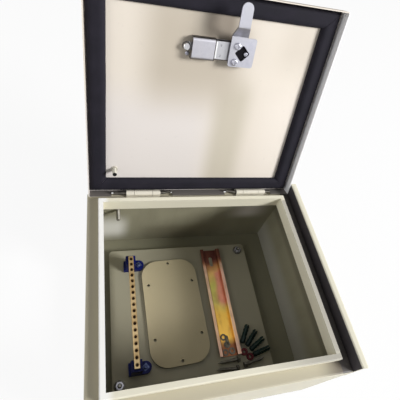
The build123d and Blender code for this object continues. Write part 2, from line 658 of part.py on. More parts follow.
def cam_outline():
    """Plan of the cam: a rounded base and an arm that narrows to the tongue's round end."""
    base = Pos(*CAM_BASE_OFFSET) * RectangleRounded(*CAM_BASE, CAM_CORNER)
    left = CAM_BASE_OFFSET[0] - CAM_BASE[0] / 2
    tip_y = -CAM_REACH + TONGUE_WIDTH / 2
    tip = Pos(TONGUE_OFFSET, tip_y) * Circle(TONGUE_WIDTH / 2)
    tongue_right = TONGUE_OFFSET + TONGUE_WIDTH / 2
    arm = make_face(Polyline(
        (left, 0),
        (left, -CAM_SLOPE_START),
        (TONGUE_OFFSET - TONGUE_WIDTH / 2, -CAM_SLOPE_END),
        (TONGUE_OFFSET - TONGUE_WIDTH / 2, tip_y),
        (tongue_right, tip_y),
        (tongue_right + TONGUE_TAPER, -CAM_SLOPE_END),
        (left + CAM_ROOT_WIDTH, -CAM_SLOPE_START),
        (left + CAM_ROOT_WIDTH, 0),
        close=True,
    ))
    return base + arm + tip - Rot(0, 0, 45) * RectangleRounded(CAM_HOLE, CAM_HOLE, CAM_HOLE_CORNER)


def lock_cam():
    """Cranked cam of bent plate, with its hole over the hub and its tongue at the free end."""
    half = CAM_THICK / 2
    low, high = CAM_FACE - half, TONGUE_FACE - half
    points = [(CAM_BASE[1], low), (-CAM_SLOPE_START, low), (-CAM_SLOPE_END, high), (-CAM_REACH - PAST, high)]
    strip = folded_strip(points, 2 * CAM_BASE[0], CAM_THICK, CAM_BEND)
    prism = Pos(0, 0, high - CAM_REACH) * extrude(cam_outline(), 2 * CAM_REACH)
    return on_spindle() * (strip & prism) - cam_screw_shanks()


def cam_screw_shanks():
    """Shanks of the two screws that hold the cam on the hub."""
    shank = extrude(Circle(CAM_SCREW_R), CAM_THICK + HUB_THICK)
    return [on_spindle(x, y, CAM_FACE - CAM_THICK) * shank for x, y in CAM_SCREWS]


def hub_screw_shank():
    """Shank of the screw that holds the hub on the spindle, beside the square."""
    length = HUB_THICK + HUB_RUNNING_GAP + HUB_SCREW_GRIP
    return on_spindle(*HUB_SCREW, CAM_FACE) * extrude(Circle(HUB_SCREW_R), length)


def cam_screws():
    """Two pan-head screws through the cam, and the hub's own screw that shows in the cam's hole."""
    head = Rot(180, 0, 0) * pan_head(CAM_SCREW_HEAD_R, CAM_SCREW_HEAD)
    places = [on_spindle(x, y, CAM_FACE - CAM_THICK) for x, y in CAM_SCREWS]
    screws = [shank + place * head for shank, place in zip(cam_screw_shanks(), places)]
    hub_head = Rot(180, 0, 0) * pan_head(HUB_SCREW_HEAD_R, HUB_SCREW_HEAD)
    return screws + [hub_screw_shank() + on_spindle(*HUB_SCREW, CAM_FACE) * hub_head]


def push_button():
    """Release button: a round head in the escutcheon and a shaft that ends inside the door."""
    top = LOCK_FACE + BUTTON_PROUD
    head = Pos(BUTTON_X, SPINDLE_XY[1], top - BUTTON_HEAD) * extrude(Circle(BUTTON_R), BUTTON_HEAD)
    head = fillet(head.faces().sort_by(Axis.Z)[-1].edges(), BUTTON_ROUND)
    tail = DOOR_INNER - BUTTON_TAIL
    shaft = Pos(BUTTON_X, SPINDLE_XY[1], tail) * extrude(Circle(BUTTON_SHAFT_R), top - BUTTON_HEAD - tail)
    shaft = fillet(shaft.faces().sort_by(Axis.Z)[0].edges(), BUTTON_TAIL_ROUND)
    return head + shaft


def handle():
    """Swing-out lever: a forked hub round the tang and a bar that lies along the escutcheon."""
    bottom = PIVOT_Z - HANDLE_HUB_R
    tip_x = -HANDLE_LENGTH
    lift = HANDLE_TIP_THICK + bottom - PIVOT_Z
    side = make_face(
        Polyline((0, -HANDLE_HUB_R), (tip_x, -HANDLE_HUB_R), (tip_x, lift))
        + Spline((tip_x, lift), (0, HANDLE_HUB_R), tangents=((1, 0), (1, 0)))
        + RadiusArc((0, HANDLE_HUB_R), (0, -HANDLE_HUB_R), HANDLE_HUB_R)
    )
    profile = Plane(origin=(SPINDLE_XY[0], SPINDLE_XY[1], PIVOT_Z), x_dir=(1, 0, 0), z_dir=(0, -1, 0)) * side
    bar = extrude(profile, HANDLE_WIDTH / 2, both=True)
    half, tip_half, end = HANDLE_WIDTH / 2, HANDLE_TIP_WIDTH / 2, HANDLE_HUB_R + PAST
    plan = make_face(Polyline(
        (end, -half),
        (0, -half),
        (tip_x, -tip_half),
        (tip_x, tip_half),
        (0, half),
        (end, half),
        close=True,
    ))
    lever = bar & on_spindle(z=bottom - PAST) * extrude(plan, 4 * HANDLE_HUB_R)
    lever = fillet(lever.edges().filter_by(Axis.Z).sort_by(Axis.X)[:2], HANDLE_TIP_CORNER)
    slot_half = TANG_WIDTH / 2 + TANG_GAP
    lever -= on_spindle() * box((-HANDLE_SLOT, 2 * HANDLE_HUB_R), (-slot_half, slot_half), (0, 2 * PIVOT_Z))
    bore_start = (SPINDLE_XY[0], SPINDLE_XY[1] - HANDLE_WIDTH, PIVOT_Z)
    return lever - rod(HANDLE_PIN_R + PIN_CLEARANCE, bore_start, (0, 1, 0), 2 * HANDLE_WIDTH)


# Earth bar

def terminal_ys():
    """The terminals' places along the bar."""
    pitch = BAR_SIZE[1] / TERMINALS
    return [BAR_CENTRE[1] + (k - (TERMINALS - 1) / 2) * pitch for k in range(TERMINALS)]


def earth_bar():
    """Brass bar with a cross hole, and a threaded hole in a wider well, for each terminal."""
    bar = Pos(*BAR_CENTRE, BAR_TOP - BAR_SIZE[2] / 2) * Box(*BAR_SIZE)
    bar = chamfer(bar.edges().filter_by(Axis.Y), BAR_CHAMFER)
    x = BAR_CENTRE[0]
    hole_z = BAR_TOP - BAR_SIZE[2] + TERMINAL_HOLE_RISE + TERMINAL_HOLE_R
    thread = extrude(Circle(TERMINAL_SCREW_R), TERMINAL_SCREW_LENGTH + TERMINAL_SUNK)
    well = extrude(Circle(TERMINAL_WELL_R), TERMINAL_WELL_DEPTH)
    for y in terminal_ys():
        bar -= rod(TERMINAL_HOLE_R, (x - BAR_SIZE[0], y, hole_z), (1, 0, 0), 2 * BAR_SIZE[0])
        bar -= Pos(x, y, TERMINAL_SCREW_TOP - TERMINAL_SCREW_LENGTH) * thread
        bar -= Pos(x, y, BAR_TOP - TERMINAL_WELL_DEPTH) * well
    return bar


def terminal_screws():
    """Slotted screws, sunk in the bar's wells."""
    screw = Pos(0, 0, -TERMINAL_SCREW_LENGTH) * extrude(Circle(TERMINAL_SCREW_R), TERMINAL_SCREW_LENGTH)
    slot = Rot(0, 0, TERMINAL_SLOT_DEG) * Box(3 * TERMINAL_SCREW_R, TERMINAL_SLOT[0], 2 * TERMINAL_SLOT[1])
    return [Pos(BAR_CENTRE[0], y, TERMINAL_SCREW_TOP) * (screw - slot) for y in terminal_ys()]


def insulator(x, y):
    """Moulded stand-off: a round-ended screw foot and a tapered tower that stops the bar's end."""
    length, width, thick = INSULATOR_FOOT
    centre_x = x + INSULATOR_FOOT_OFFSET
    end_x = centre_x + length / 2 - width / 2
    foot_plan = Pos(centre_x - width / 4, y) * Rectangle(length - width / 2, width)
    foot_plan += Pos(end_x, y) * Circle(width / 2)
    foot = Pos(0, 0, PLATE_TOP) * extrude(foot_plan, thick)
    base = Plane(origin=(x, y, PLATE_TOP)) * Rectangle(INSULATOR_TOP[0] + INSULATOR_FLARE, width)
    top = Plane(origin=(x, y, PLATE_TOP + BAR_LIFT + INSULATOR_CHEEK)) * Rectangle(*INSULATOR_TOP)
    seat_x = (x - BAR_SIZE[0] / 2, x + BAR_SIZE[0] / 2)
    seat_y = (BAR_CENTRE[1] - BAR_SIZE[1] / 2, BAR_CENTRE[1] + BAR_SIZE[1] / 2)
    seat = box(seat_x, seat_y, (PLATE_TOP + BAR_LIFT, BAR_TOP))
    screw = Pos(x + INSULATOR_SCREW_OFFSET, y, PLATE_TOP) * Cylinder(INSULATOR_SCREW_R, 4 * thick)
    return foot + loft([base, top]) - seat - screw


def insulator_screw(x, y):
    """Screw with a square washer, through the insulator's foot into the mounting plate."""
    seat = PLATE_TOP + INSULATOR_FOOT[2]
    foot = PLATE_TOP - PLATE_SHEET
    shank = rod(INSULATOR_SCREW_R, (0, 0, foot), (0, 0, 1), seat - foot)
    washer = Pos(0, 0, seat) * extrude(Rectangle(SQUARE_WASHER, SQUARE_WASHER), SQUARE_WASHER_THICK)
    head = Pos(0, 0, seat + SQUARE_WASHER_THICK) * pan_head(SCREW_HEAD_R, SCREW_HEAD)
    socket_top = seat + SQUARE_WASHER_THICK + SCREW_HEAD
    socket = Pos(0, 0, socket_top) * Cylinder(SCREW_SOCKET_R, 2 * SCREW_SOCKET_DEPTH)
    place = Pos(x + INSULATOR_SCREW_OFFSET, y) * Rot(0, 0, INSULATOR_SCREW_DEG)
    return place * (shank + washer + head - socket)


# Loose fittings on the mounting plate

def gland_plate_place(low):
    """The loose gland plate's place on the mounting plate."""
    return Pos(*GLAND_PLATE_AT, low) * Rot(0, 0, GLAND_PLATE_TURN_DEG)


def gland_plan():
    """Gland plate's outline with its six holes."""
    outline = RectangleRounded(*GLAND_PLATE_SIZE, GLAND_PLATE_CORNER)
    return outline - [Pos(a, b) * Circle(GLAND_HOLE_R) for a, b in gland_holes()]


def gland_plate():
    """Blank plate that closes the gland opening, supplied loose."""
    return gland_plate_place(PLATE_TOP + GLAND_GASKET_THICK) * extrude(gland_plan(), GLAND_PLATE_SHEET)


def gland_gasket():
    """Foam gasket under the gland plate."""
    length, width = (size - 2 * GLAND_GASKET_BAND for size in GLAND_PLATE_SIZE)
    window = RectangleRounded(length, width, GLAND_PLATE_CORNER - GLAND_GASKET_BAND)
    return gland_plate_place(PLATE_TOP) * extrude(gland_plan() - window, GLAND_GASKET_THICK)


def mounting_rail():
    """Top-hat rail lying on its web, with a slot near each end."""
    half_web, half_rail = RAIL_WEB / 2 - RAIL_SHEET / 2, RAIL_WIDTH / 2
    top = RAIL_HEIGHT - RAIL_SHEET / 2
    low = RAIL_SHEET / 2
    half_points = [(half_web, low), (half_web, top), (half_rail, top)]
    points = [(-y, z) for y, z in reversed(half_points)] + half_points
    rail = Rot(0, 0, 90) * folded_strip(points, RAIL_LENGTH, RAIL_SHEET, RAIL_SHEET)
    for a in (-1, 1):
        slot = Pos(0, a * (RAIL_LENGTH / 2 - RAIL_SLOT_INSET)) * Rot(0, 0, 90) * SlotOverall(*RAIL_SLOT)
        rail -= extrude(slot, 2 * RAIL_SHEET, both=True)
    return Pos(*RAIL_AT, PLATE_TOP) * Rot(0, 0, RAIL_TURN_DEG) * rail


def lying_along_x(radius, low_x, length):
    """A round bar on the X axis."""
    return rod(radius, (low_x, 0, 0), (1, 0, 0), length)


def wall_plug():
    """Split expansion plug with ribs, lying along +X from its near end at the origin."""
    plug = lying_along_x(PLUG_R - PLUG_RIB_RISE, 0, PLUG_LENGTH)
    for k in range(PLUG_RIBS):
        middle = (k + 0.5) * PLUG_LENGTH / PLUG_RIBS
        plug += lying_along_x(PLUG_R, middle - PLUG_RIB_LENGTH / 2, PLUG_RIB_LENGTH)
    split_y, split_z = (-PLUG_SPLIT / 2, PLUG_SPLIT / 2), (-2 * PLUG_R, 2 * PLUG_R)
    split = box((PLUG_SPLIT_START, 2 * PLUG_LENGTH), split_y, split_z)
    return plug - lying_along_x(PLUG_BORE_R, 0, PLUG_LENGTH) - split


def wall_plugs():
    """Four plugs that lie in a fan."""
    place = Pos(*PLUG_FAN_AT, PLATE_TOP + PLUG_R)
    return [place * Rot(0, 0, turn) * Pos(PLUG_FAN_REACH) * wall_plug() for turn in PLUG_FAN_DEG]


def fixing_screw():
    """Wood screw with a hexagon head, lying along +X."""
    half = FIXING_LENGTH / 2
    shank = lying_along_x(FIXING_SHANK_R, -half, FIXING_LENGTH)
    point = Pos(half + FIXING_POINT / 2) * Rot(0, 90, 0) * Cone(FIXING_SHANK_R, FIXING_TIP_R, FIXING_POINT)
    head = Pos(-half) * Rot(0, -90, 0) * extrude(RegularPolygon(FIXING_HEAD_R, 6), FIXING_HEAD)
    return shank + point + head


def fixing_screws():
    """Four screws, each lying on a flat of its head."""
    flat = FIXING_HEAD_R * cos(radians(30))
    screw = Rot(30, 0, 0) * fixing_screw()
    return [Pos(x, y, PLATE_TOP + flat) * Rot(0, 0, turn) * screw for x, y, turn in FIXING_SPOTS]


def fixing_washers():
    """Four washers that lie in the rail."""
    outer_r, inner_r, thick = FIXING_WASHER
    washer = ring(outer_r, inner_r, PLATE_TOP + RAIL_SHEET, thick)
    return [Pos(x, y) * washer for x, y in FIXING_WASHER_SPOTS]


def seal_washers():
    """Soft washers in small stacks on the mounting plate."""
    outer_r, inner_r, thick = SEAL_WASHER
    levels = [PLATE_TOP + k * thick for k in range(SEAL_WASHER_STACK)]
    return [Pos(x, y) * ring(outer_r, inner_r, low, thick) for x, y in SEAL_WASHER_SPOTS for low in levels]


def assembly():
    """Every piece by name, in the rest pose."""
    spots = insulator_spots()
    nodes = {
        "cabinet_shell": cabinet_shell(),
        "back_panel": back_panel(),
        "rain_eave": rain_eave(),
        "mounting_plate": mounting_plate(),
        "plate_studs": on_studs(plate_stud),
        "plate_spacers": on_studs(lambda: ring(SPACER_R, STUD_R, BACK_SHEET, SPACER_LENGTH)),
        "plate_washers": on_studs(lambda: ring(WASHER_R, STUD_R, PLATE_TOP, WASHER_THICK)),
        "plate_nuts": on_studs(hex_nut),
        "body_earth_stud": body_earth_stud(),
        "earth_bar": earth_bar(),
        "terminal_screws": terminal_screws(),
        "lower_insulator": insulator(*spots[0]),
        "upper_insulator": insulator(*spots[1]),
        "insulator_screws": [insulator_screw(x, y) for x, y in spots],
        "gland_plate": gland_plate(),
        "gland_plate_gasket": gland_gasket(),
        "mounting_rail": mounting_rail(),
        "wall_plugs": wall_plugs(),
        "fixing_screws": fixing_screws(),
        "fixing_washers": fixing_washers(),
        "seal_washers": seal_washers(),
        "door_pan": swung(door_pan()),
        "door_gasket": [swung(strip) for strip in door_gasket()],
        "door_earth_stud": swung(door_earth_stud()),
        "lock_housing": swung(lock_housing()),
        "lock_clamp": swung(lock_clamp()),
        "clamp_screw": swung(clamp_screw()),
        "push_button": swung(push_button()),
        "spindle": swung(spindle()),
        "lock_hub": swung(lock_hub()),
        "lock_cam": swung(lock_cam()),
        "cam_screws": [swung(screw) for screw in cam_screws()],
        "handle_pin": swung(handle_pin_solid()),
        "handle": swung(handle()),
    }
    for index, side in enumerate(("lower", "upper")):
        centre = HINGE_CENTRES_X[index]
        nodes[f"{side}_hinge_fixed_leaf"] = hinge_fixed_leaf(centre)
        nodes[f"{side}_hinge_door_leaf"] = swung(hinge_door_leaf(centre))
        nodes[f"{side}_hinge_pin"] = hinge_pin(index)
    return nodes


os.makedirs("parts", exist_ok=True)
for name, shape in assembly().items():
    export_step(Compound(shape) if isinstance(shape, list) else shape, f"parts/{name}.step")
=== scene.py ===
"""Looks of a small steel utility cabinet that lies open on its back.

The frame holds every rigid piece at its real place. This script dresses those pieces, stands
threaded studs, screws and the foam seal in for their plain solids, and sets up the floor,
the lamps and the camera. Lengths are in metres, in the cabinet's own frame: +Z is its front,
+X its mounted top and +Y its hinge side. Zones of tone, most of them painted light and shade,
are laid out in millimetres.
"""
from __future__ import annotations

import json
import logging
import math
from dataclasses import dataclass
from enum import Enum
from functools import cached_property
from typing import Iterable

import bmesh
import bpy
import numpy as np
from mathutils import Matrix, Vector

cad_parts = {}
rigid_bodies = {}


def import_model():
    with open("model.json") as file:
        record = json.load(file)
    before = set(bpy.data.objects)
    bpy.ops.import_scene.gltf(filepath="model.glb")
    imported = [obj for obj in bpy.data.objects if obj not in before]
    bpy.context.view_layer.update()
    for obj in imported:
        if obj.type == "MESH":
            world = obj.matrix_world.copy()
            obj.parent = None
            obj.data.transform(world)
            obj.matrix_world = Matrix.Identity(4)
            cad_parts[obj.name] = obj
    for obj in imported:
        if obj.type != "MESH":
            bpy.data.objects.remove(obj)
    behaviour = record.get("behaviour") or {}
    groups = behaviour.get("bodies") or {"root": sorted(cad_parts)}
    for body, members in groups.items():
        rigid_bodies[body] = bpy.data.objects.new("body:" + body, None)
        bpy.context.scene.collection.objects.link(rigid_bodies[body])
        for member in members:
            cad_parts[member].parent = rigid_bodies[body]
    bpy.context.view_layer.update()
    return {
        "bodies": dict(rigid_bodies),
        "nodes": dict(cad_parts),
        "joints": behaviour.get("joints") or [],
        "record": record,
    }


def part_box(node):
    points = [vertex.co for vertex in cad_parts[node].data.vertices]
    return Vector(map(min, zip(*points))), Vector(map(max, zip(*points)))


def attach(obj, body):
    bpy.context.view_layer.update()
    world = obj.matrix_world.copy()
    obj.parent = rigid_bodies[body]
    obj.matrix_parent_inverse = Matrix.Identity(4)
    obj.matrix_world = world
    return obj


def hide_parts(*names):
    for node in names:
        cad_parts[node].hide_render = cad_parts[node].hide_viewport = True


LOG = logging.getLogger("cabinet")
Triple = tuple[float, float, float]
Colour = Triple
Span = tuple[float, float]
MM = 0.001
OPEN = math.inf
EVERYWHERE: Span = (-OPEN, OPEN)
WHITE: Colour = (1.0, 1.0, 1.0)


class Body(str, Enum):
    """The rigid bodies of the cabinet, by the names that they have in the frame."""

    CABINET = "cabinet"
    DOOR = "door"


class Direction(Enum):
    """The way that a metal's drawing or grinding marks run."""

    ALONG_Y = (1.0, 0.04, 1.0)
    NONE = (1.0, 1.0, 1.0)


class Value:
    """A number socket of a node tree, with arithmetic that adds Math nodes."""

    def __init__(self, nodes: "Nodes", socket: bpy.types.NodeSocket) -> None:
        """Wrap a socket.

        Args:
            nodes: The tree that the socket belongs to.
            socket: The output socket to work on.
        """
        self.nodes = nodes
        self.socket = socket

    def _math(self, operation: str, *operands: "Value | float") -> "Value":
        """Add one Math node and wrap what it gives."""
        node = self.nodes.node("ShaderNodeMath", {"operation": operation}, *operands)
        return Value(self.nodes, node.outputs[0])

    def __add__(self, other: "Value | float") -> "Value":
        """Sum."""
        return self._math("ADD", self, other)

    def __radd__(self, other: float) -> "Value":
        """Sum, from the right."""
        return self._math("ADD", other, self)

    def __sub__(self, other: "Value | float") -> "Value":
        """Difference."""
        return self._math("SUBTRACT", self, other)

    def __rsub__(self, other: float) -> "Value":
        """Difference, from the right."""
        return self._math("SUBTRACT", other, self)

    def __mul__(self, other: "Value | float") -> "Value":
        """Product."""
        return self._math("MULTIPLY", self, other)

    def __rmul__(self, other: float) -> "Value":
        """Product, from the right."""
        return self._math("MULTIPLY", other, self)

    def size(self) -> "Value":
        """The value without its sign."""
        return self._math("ABSOLUTE", self)

    def larger(self, other: "Value | float") -> "Value":
        """The larger of two values."""
        return self._math("MAXIMUM", self, other)

    def ramp(self, low: float, high: float) -> "Value":
        """A smooth step.

        Args:
            low: The value that gives 0.
            high: The value that gives 1.

        Returns:
            The eased share between the two, kept from 0 to 1.
        """
        node = self.nodes.node(
            "ShaderNodeMapRange", {"interpolation_type": "SMOOTHSTEP"}, self, low, high, 0.0, 1.0
        )
        return Value(self.nodes, node.outputs[0])


class Nodes:
    """An emptied node tree, and the one way to add a node to it."""

    def __init__(self, tree: bpy.types.NodeTree) -> None:
        """Empty the tree.

        Args:
            tree: The tree to build in.
        """
        self.tree = tree
        tree.nodes.clear()

    def node(self, kind: str, settings: dict, *values: object, **named: object) -> bpy.types.Node:
        """Add a node.

        Args:
            kind: The node's type.
            settings: Its own settings, which are set before its sockets.
            *values: What goes into its first sockets, in order.
            **named: What goes into sockets by name, with an underscore for a space.

        Returns:
            The new node.
        """
        made = self.tree.nodes.new(kind)
        for key, setting in settings.items():
            setattr(made, key, setting)
        pairs = list(zip(made.inputs, values))
        pairs += [(made.inputs[key.replace("_", " ")], value) for key, value in named.items()]
        for socket, value in pairs:
            self.feed(socket, value)
        return made

    def feed(self, socket: bpy.types.NodeSocket, value: object) -> None:
        """Link or set one socket.

        Args:
            socket: The input socket.
            value: A wrapped value, a socket, a number or a colour.
        """
        if isinstance(value, Value):
            self.tree.links.new(value.socket, socket)
        elif isinstance(value, bpy.types.NodeSocket):
            self.tree.links.new(value, socket)
        elif socket.type == "RGBA" and len(value) == 3:
            socket.default_value = (*value, 1.0)
        else:
            socket.default_value = value


class Graph(Nodes):
    """One material's nodes, around a single Principled shader."""

    def __init__(self, name: str, turn: Swing | None = None) -> None:
        """Start an empty material.

        Args:
            name: The material's name.
            turn: The door's swing, for a piece whose axes are read as if the door were shut.
        """
        self.turn = turn
        self.material = bpy.data.materials.new(name)
        self.material.use_nodes = True
        super().__init__(self.material.node_tree)
        self.shader = self.node("ShaderNodeBsdfPrincipled", {})
        self.output = self.node("ShaderNodeOutputMaterial", {}, self.shader.outputs[0])
        self.place = self.node("ShaderNodeTexCoord", {}).outputs["Object"]

    def fix(self, **values: object) -> None:
        """Set or link the shader's sockets, with an underscore for a space."""
        for key, value in values.items():
            self.feed(self.shader.inputs[key.replace("_", " ")], value)

    @cached_property
    def axes(self) -> tuple[Value, Value, Value]:
        """The piece's own coordinates as three values, with the door shut where there is a turn.

        Returns:
            The place along X, Y and Z.
        """
        place = self.place
        if self.turn:
            pivot = (0.0, self.turn.pivot_y, self.turn.pivot_z)
            settings = {"rotation_type": "X_AXIS"}
            node = self.node(
                "ShaderNodeVectorRotate", settings, Vector=place, Center=pivot, Angle=self.turn.angle
            )
            place = node.outputs[0]
        split = self.node("ShaderNodeSeparateXYZ", {}, place)
        return tuple(Value(self, output) for output in split.outputs)

    def noise(self, scale: float, detail: float = 2.0, stretch: Triple = (1.0, 1.0, 1.0)) -> Value:
        """Soft noise about 0.5.

        Args:
            scale: Blotches in a metre.
            detail: Octaves of finer noise.
            stretch: Scale of each axis; a small one draws the noise out along it.

        Returns:
            The noise value.
        """
        vector = self.node("ShaderNodeMapping", {}, Vector=self.place, Scale=stretch).outputs[0]
        node = self.node("ShaderNodeTexNoise", {}, Vector=vector, Scale=scale, Detail=detail)
        return Value(self, node.outputs[0])

    def cells(self, scale: float) -> Value:
        """Distance from the centres of small cells, with so many cells in a metre."""
        node = self.node("ShaderNodeTexVoronoi", {}, Vector=self.place, Scale=scale)
        return Value(self, node.outputs["Distance"])

    def mix(self, share: Value | float, first: object, second: object) -> bpy.types.NodeSocket:
        """Blend two colours.

        Args:
            share: How much of the second colour.
            first: The first colour or socket.
            second: The second colour or socket.

        Returns:
            The blended colour's socket.
        """
        node = self.node("ShaderNodeMix", {"data_type": "RGBA"})
        factor, colour_a, colour_b = node.inputs[0], node.inputs[6], node.inputs[7]
        for socket, value in ((factor, share), (colour_a, first), (colour_b, second)):
            self.feed(socket, value)
        return node.outputs[2]

    def stops(self, share: Value, colours: Iterable[tuple[float, Colour]]) -> bpy.types.NodeSocket:
        """Look a value up in a row of colours.

        Args:
            share: The value, from 0 to 1.
            colours: Stops as (place, colour).

        Returns:
            The colour's socket.
        """
        node = self.node("ShaderNodeValToRGB", {}, share)
        elements = node.color_ramp.elements
        rows = list(colours)
        while len(elements) < len(rows):
            elements.new(0.5)
        for element, (place, colour) in zip(elements, rows):
            element.position = place
            element.color = (*colour, 1.0)
        return node.outputs[0]

    def relief(self, height: Value, depth: float, strength: float) -> None:
        """Raise the surface by a height pattern.

        Args:
            height: The pattern.
            depth: The real height of one unit of it.
            strength: How much of the bump shows.
        """
        bump = self.node("ShaderNodeBump", {}, Strength=strength, Distance=depth, Height=height)
        self.fix(Normal=bump.outputs[0])


@dataclass(frozen=True)
class Zone:
    """A box of a piece that takes another tone, mostly painted light or shade, in millimetres; an infinite
    end is open.

    Each side's ease is how far inside it the tone comes up to its full strength.
    """

    colour: Colour
    x: Span = EVERYWHERE
    y: Span = EVERYWHERE
    z: Span = EVERYWHERE
    ease: Triple = (0.3, 0.3, 0.3)
    strength: float = 1.0

    def share(self, graph: Graph) -> Value:
        """How much of the tone a point takes: the product of a smooth step at each closed side.

        Args:
            graph: The material to build in.

        Returns:
            The share, from 0 outside to the zone's strength inside.
        """
        steps = []
        for axis, (low, high), ease in zip(graph.axes, (self.x, self.y, self.z), self.ease):
            if low > -OPEN:
                steps.append(axis.ramp(low * MM, (low + ease) * MM))
            if high < OPEN:
                steps.append(axis.ramp(high * MM, (high - ease) * MM))
        share = steps[0]
        for step in steps[1:]:
            share = share * step
        return share * self.strength


@dataclass(frozen=True)
class Paint:
    """Powder coat: a soft orange peel, slow drifts of tone, a little soil, and painted light and shade in its
    inside and its zones.
    """

    name: str
    colour: Colour
    shade: Colour
    roughness: float = 0.42
    room: Zone | None = None
    zones: tuple[Zone, ...] = ()
    turn: Swing | None = None
    peel: float = 0.05 * MM
    soil: float = 0.10

    def material(self) -> bpy.types.Material:
        """Build the paint.

        Returns:
            The material, with the painted shade of its inside where it has one, streaked upright, and its
            zones on top.
        """
        graph = Graph(self.name, self.turn)
        drift = graph.noise(9.0, 3.0).ramp(0.35, 0.7)
        colour = graph.mix(drift * 0.6, self.colour, self.shade)
        # painted shade: the inside takes a dark olive with darker upright streaks in it
        if self.room:
            streaks = graph.noise(26.0, 4.0, (1.0, 1.0, 0.3)).ramp(0.35, 0.75)
            deep = tuple(0.72 * channel for channel in self.room.colour)
            inside = graph.mix(streaks * 0.7, self.room.colour, deep)
            colour = graph.mix(self.room.share(graph), colour, inside)
        for zone in self.zones:
            colour = graph.mix(zone.share(graph), colour, zone.colour)
        soil = graph.noise(180.0, 4.0).ramp(0.62, 0.8) * self.soil
        colour = graph.mix(soil, colour, tuple(0.55 * channel for channel in self.shade))
        graph.fix(Base_Color=colour, Roughness=self.roughness + graph.noise(40.0) * 0.12)
        graph.relief(graph.noise(750.0, 2.0), self.peel, 0.6)
        return graph.material


@dataclass(frozen=True)
class Metal:
    """Bare or plated metal with clouding, fine marks, duller spots and zones of painted light and shade."""

    name: str
    colour: Colour
    cloud: Colour
    roughness: float = 0.30
    marks: Direction = Direction.NONE
    zones: tuple[Zone, ...] = ()
    turn: Swing | None = None
    depth: float = 0.02 * MM

    def material(self) -> bpy.types.Material:
        """Build the metal.

        Returns:
            The material, with its zones on top.
        """
        graph = Graph(self.name, self.turn)
        clouding = graph.noise(70.0, 4.0).ramp(0.3, 0.75)
        marks = graph.noise(900.0, 3.0, self.marks.value)
        colour = graph.mix(clouding, self.colour, self.cloud)
        for zone in self.zones:
            colour = graph.mix(zone.share(graph), colour, zone.colour)
        graph.fix(
            Base_Color=colour,
            Metallic=1.0,
            Roughness=self.roughness + clouding * 0.14 + marks * 0.08,
        )
        graph.relief(marks, self.depth, 0.5)
        return graph.material


@dataclass(frozen=True)
class Passivated:
    """Yellow passivated zinc, whose film shifts from maroon through green and pink to orange."""

    name: str
    start: float
    end: float
    centre: float
    web_half: float = 12.2 * MM
    flange_edge: float = 0.6 * MM
    depth: float = 0.02 * MM

    def material(self) -> bpy.types.Material:
        """Build the film's colours along the rail, bent by noise.

        The stops run from the far end to the near one. A pink half fades in on the far part of
        the web, and the flanges beyond the web's half width are a paler pink.

        Returns:
            The material.
        """
        graph = Graph(self.name)
        x, y, _ = graph.axes
        bend = (graph.noise(30.0, 2.0) - 0.5) * (30 * MM)
        share = (y + bend).ramp(self.end, self.start)
        film = graph.stops(
            share,
            (
                (0.03, (0.17, 0.055, 0.045)),
                (0.07, (0.48, 0.20, 0.09)),
                (0.14, (0.74, 0.46, 0.15)),
                (0.30, (0.48, 0.44, 0.10)),
                (0.52, (0.58, 0.50, 0.13)),
                (0.68, (0.84, 0.51, 0.085)),
                (0.93, (1.00, 0.60, 0.110)),
                (0.98, (0.24, 0.09, 0.04)),
            ),
        )
        across = x - self.centre
        wander = (graph.noise(45.0, 2.0, (1.0, 0.5, 1.0)) - 0.5) * (12 * MM)
        right_half = (across + wander).ramp(-3 * MM, 6 * MM)
        blush = right_half * share.ramp(0.10, 0.16) * (0.62 - share).ramp(0.0, 0.15)
        film = graph.mix(blush * 0.85, film, (0.66, 0.22, 0.17))
        past_web = across.size().ramp(self.web_half, self.web_half + self.flange_edge)
        film = graph.mix(past_web * share.ramp(0.04, 0.10) * 0.8, film, (0.70, 0.46, 0.35))
        clouds = graph.noise(110.0, 3.0, (1.0, 0.5, 1.0)).ramp(0.4, 0.75)
        film = graph.mix(clouds * 0.3, film, (0.30, 0.14, 0.06))
        graph.fix(Base_Color=film, Metallic=0.8, Roughness=0.30 + clouds * 0.12)
        graph.relief(graph.noise(700.0, 2.0, Direction.ALONG_Y.value), self.depth, 0.4)
        return graph.material


@dataclass(frozen=True)
class Moulded:
    """Moulded plastic or rubber with a fine cast texture."""

    name: str
    colour: Colour
    shade: Colour
    roughness: float = 0.4
    gloss: float = 0.5
    grain: float = 900.0
    depth: float = 0.04 * MM
    cellular: bool = False

    def material(self) -> bpy.types.Material:
        """Build the plastic, or foam where it is cellular.

        Returns:
            The material.
        """
        graph = Graph(self.name)
        drift = graph.noise(55.0, 3.0).ramp(0.3, 0.75)
        height = graph.cells(self.grain) if self.cellular else graph.noise(self.grain, 2.0)
        graph.fix(
            Base_Color=graph.mix(drift, self.colour, self.shade),
            Roughness=self.roughness + drift * 0.12,
            Specular_IOR_Level=self.gloss,
        )
        graph.relief(height, self.depth, 0.7)
        return graph.material


Finish = Paint | Metal | Passivated | Moulded


@dataclass
class Skin:
    """A surface given as a grid of points, which closes on itself around its second side."""

    points: np.ndarray

    def quads(self, first: int) -> np.ndarray:
        """Number the grid's four-sided faces.

        Args:
            first: The number of the grid's first point in the whole mesh.

        Returns:
            An array of corner numbers, four to a face.
        """
        rows, columns = self.points.shape[:2]
        number = first + np.arange(rows * columns).reshape(rows, columns)
        number = np.concatenate([number, number[:, :1]], axis=1)
        corners = (number[:-1, :-1], number[:-1, 1:], number[1:, 1:], number[1:, :-1])
        return np.stack(corners, axis=-1).reshape(-1, 4)

    def placed(self, matrix: Matrix) -> "Skin":
        """The skin moved by a matrix."""
        array = np.array(matrix)
        return Skin(self.points @ array[:3, :3].T + array[:3, 3])


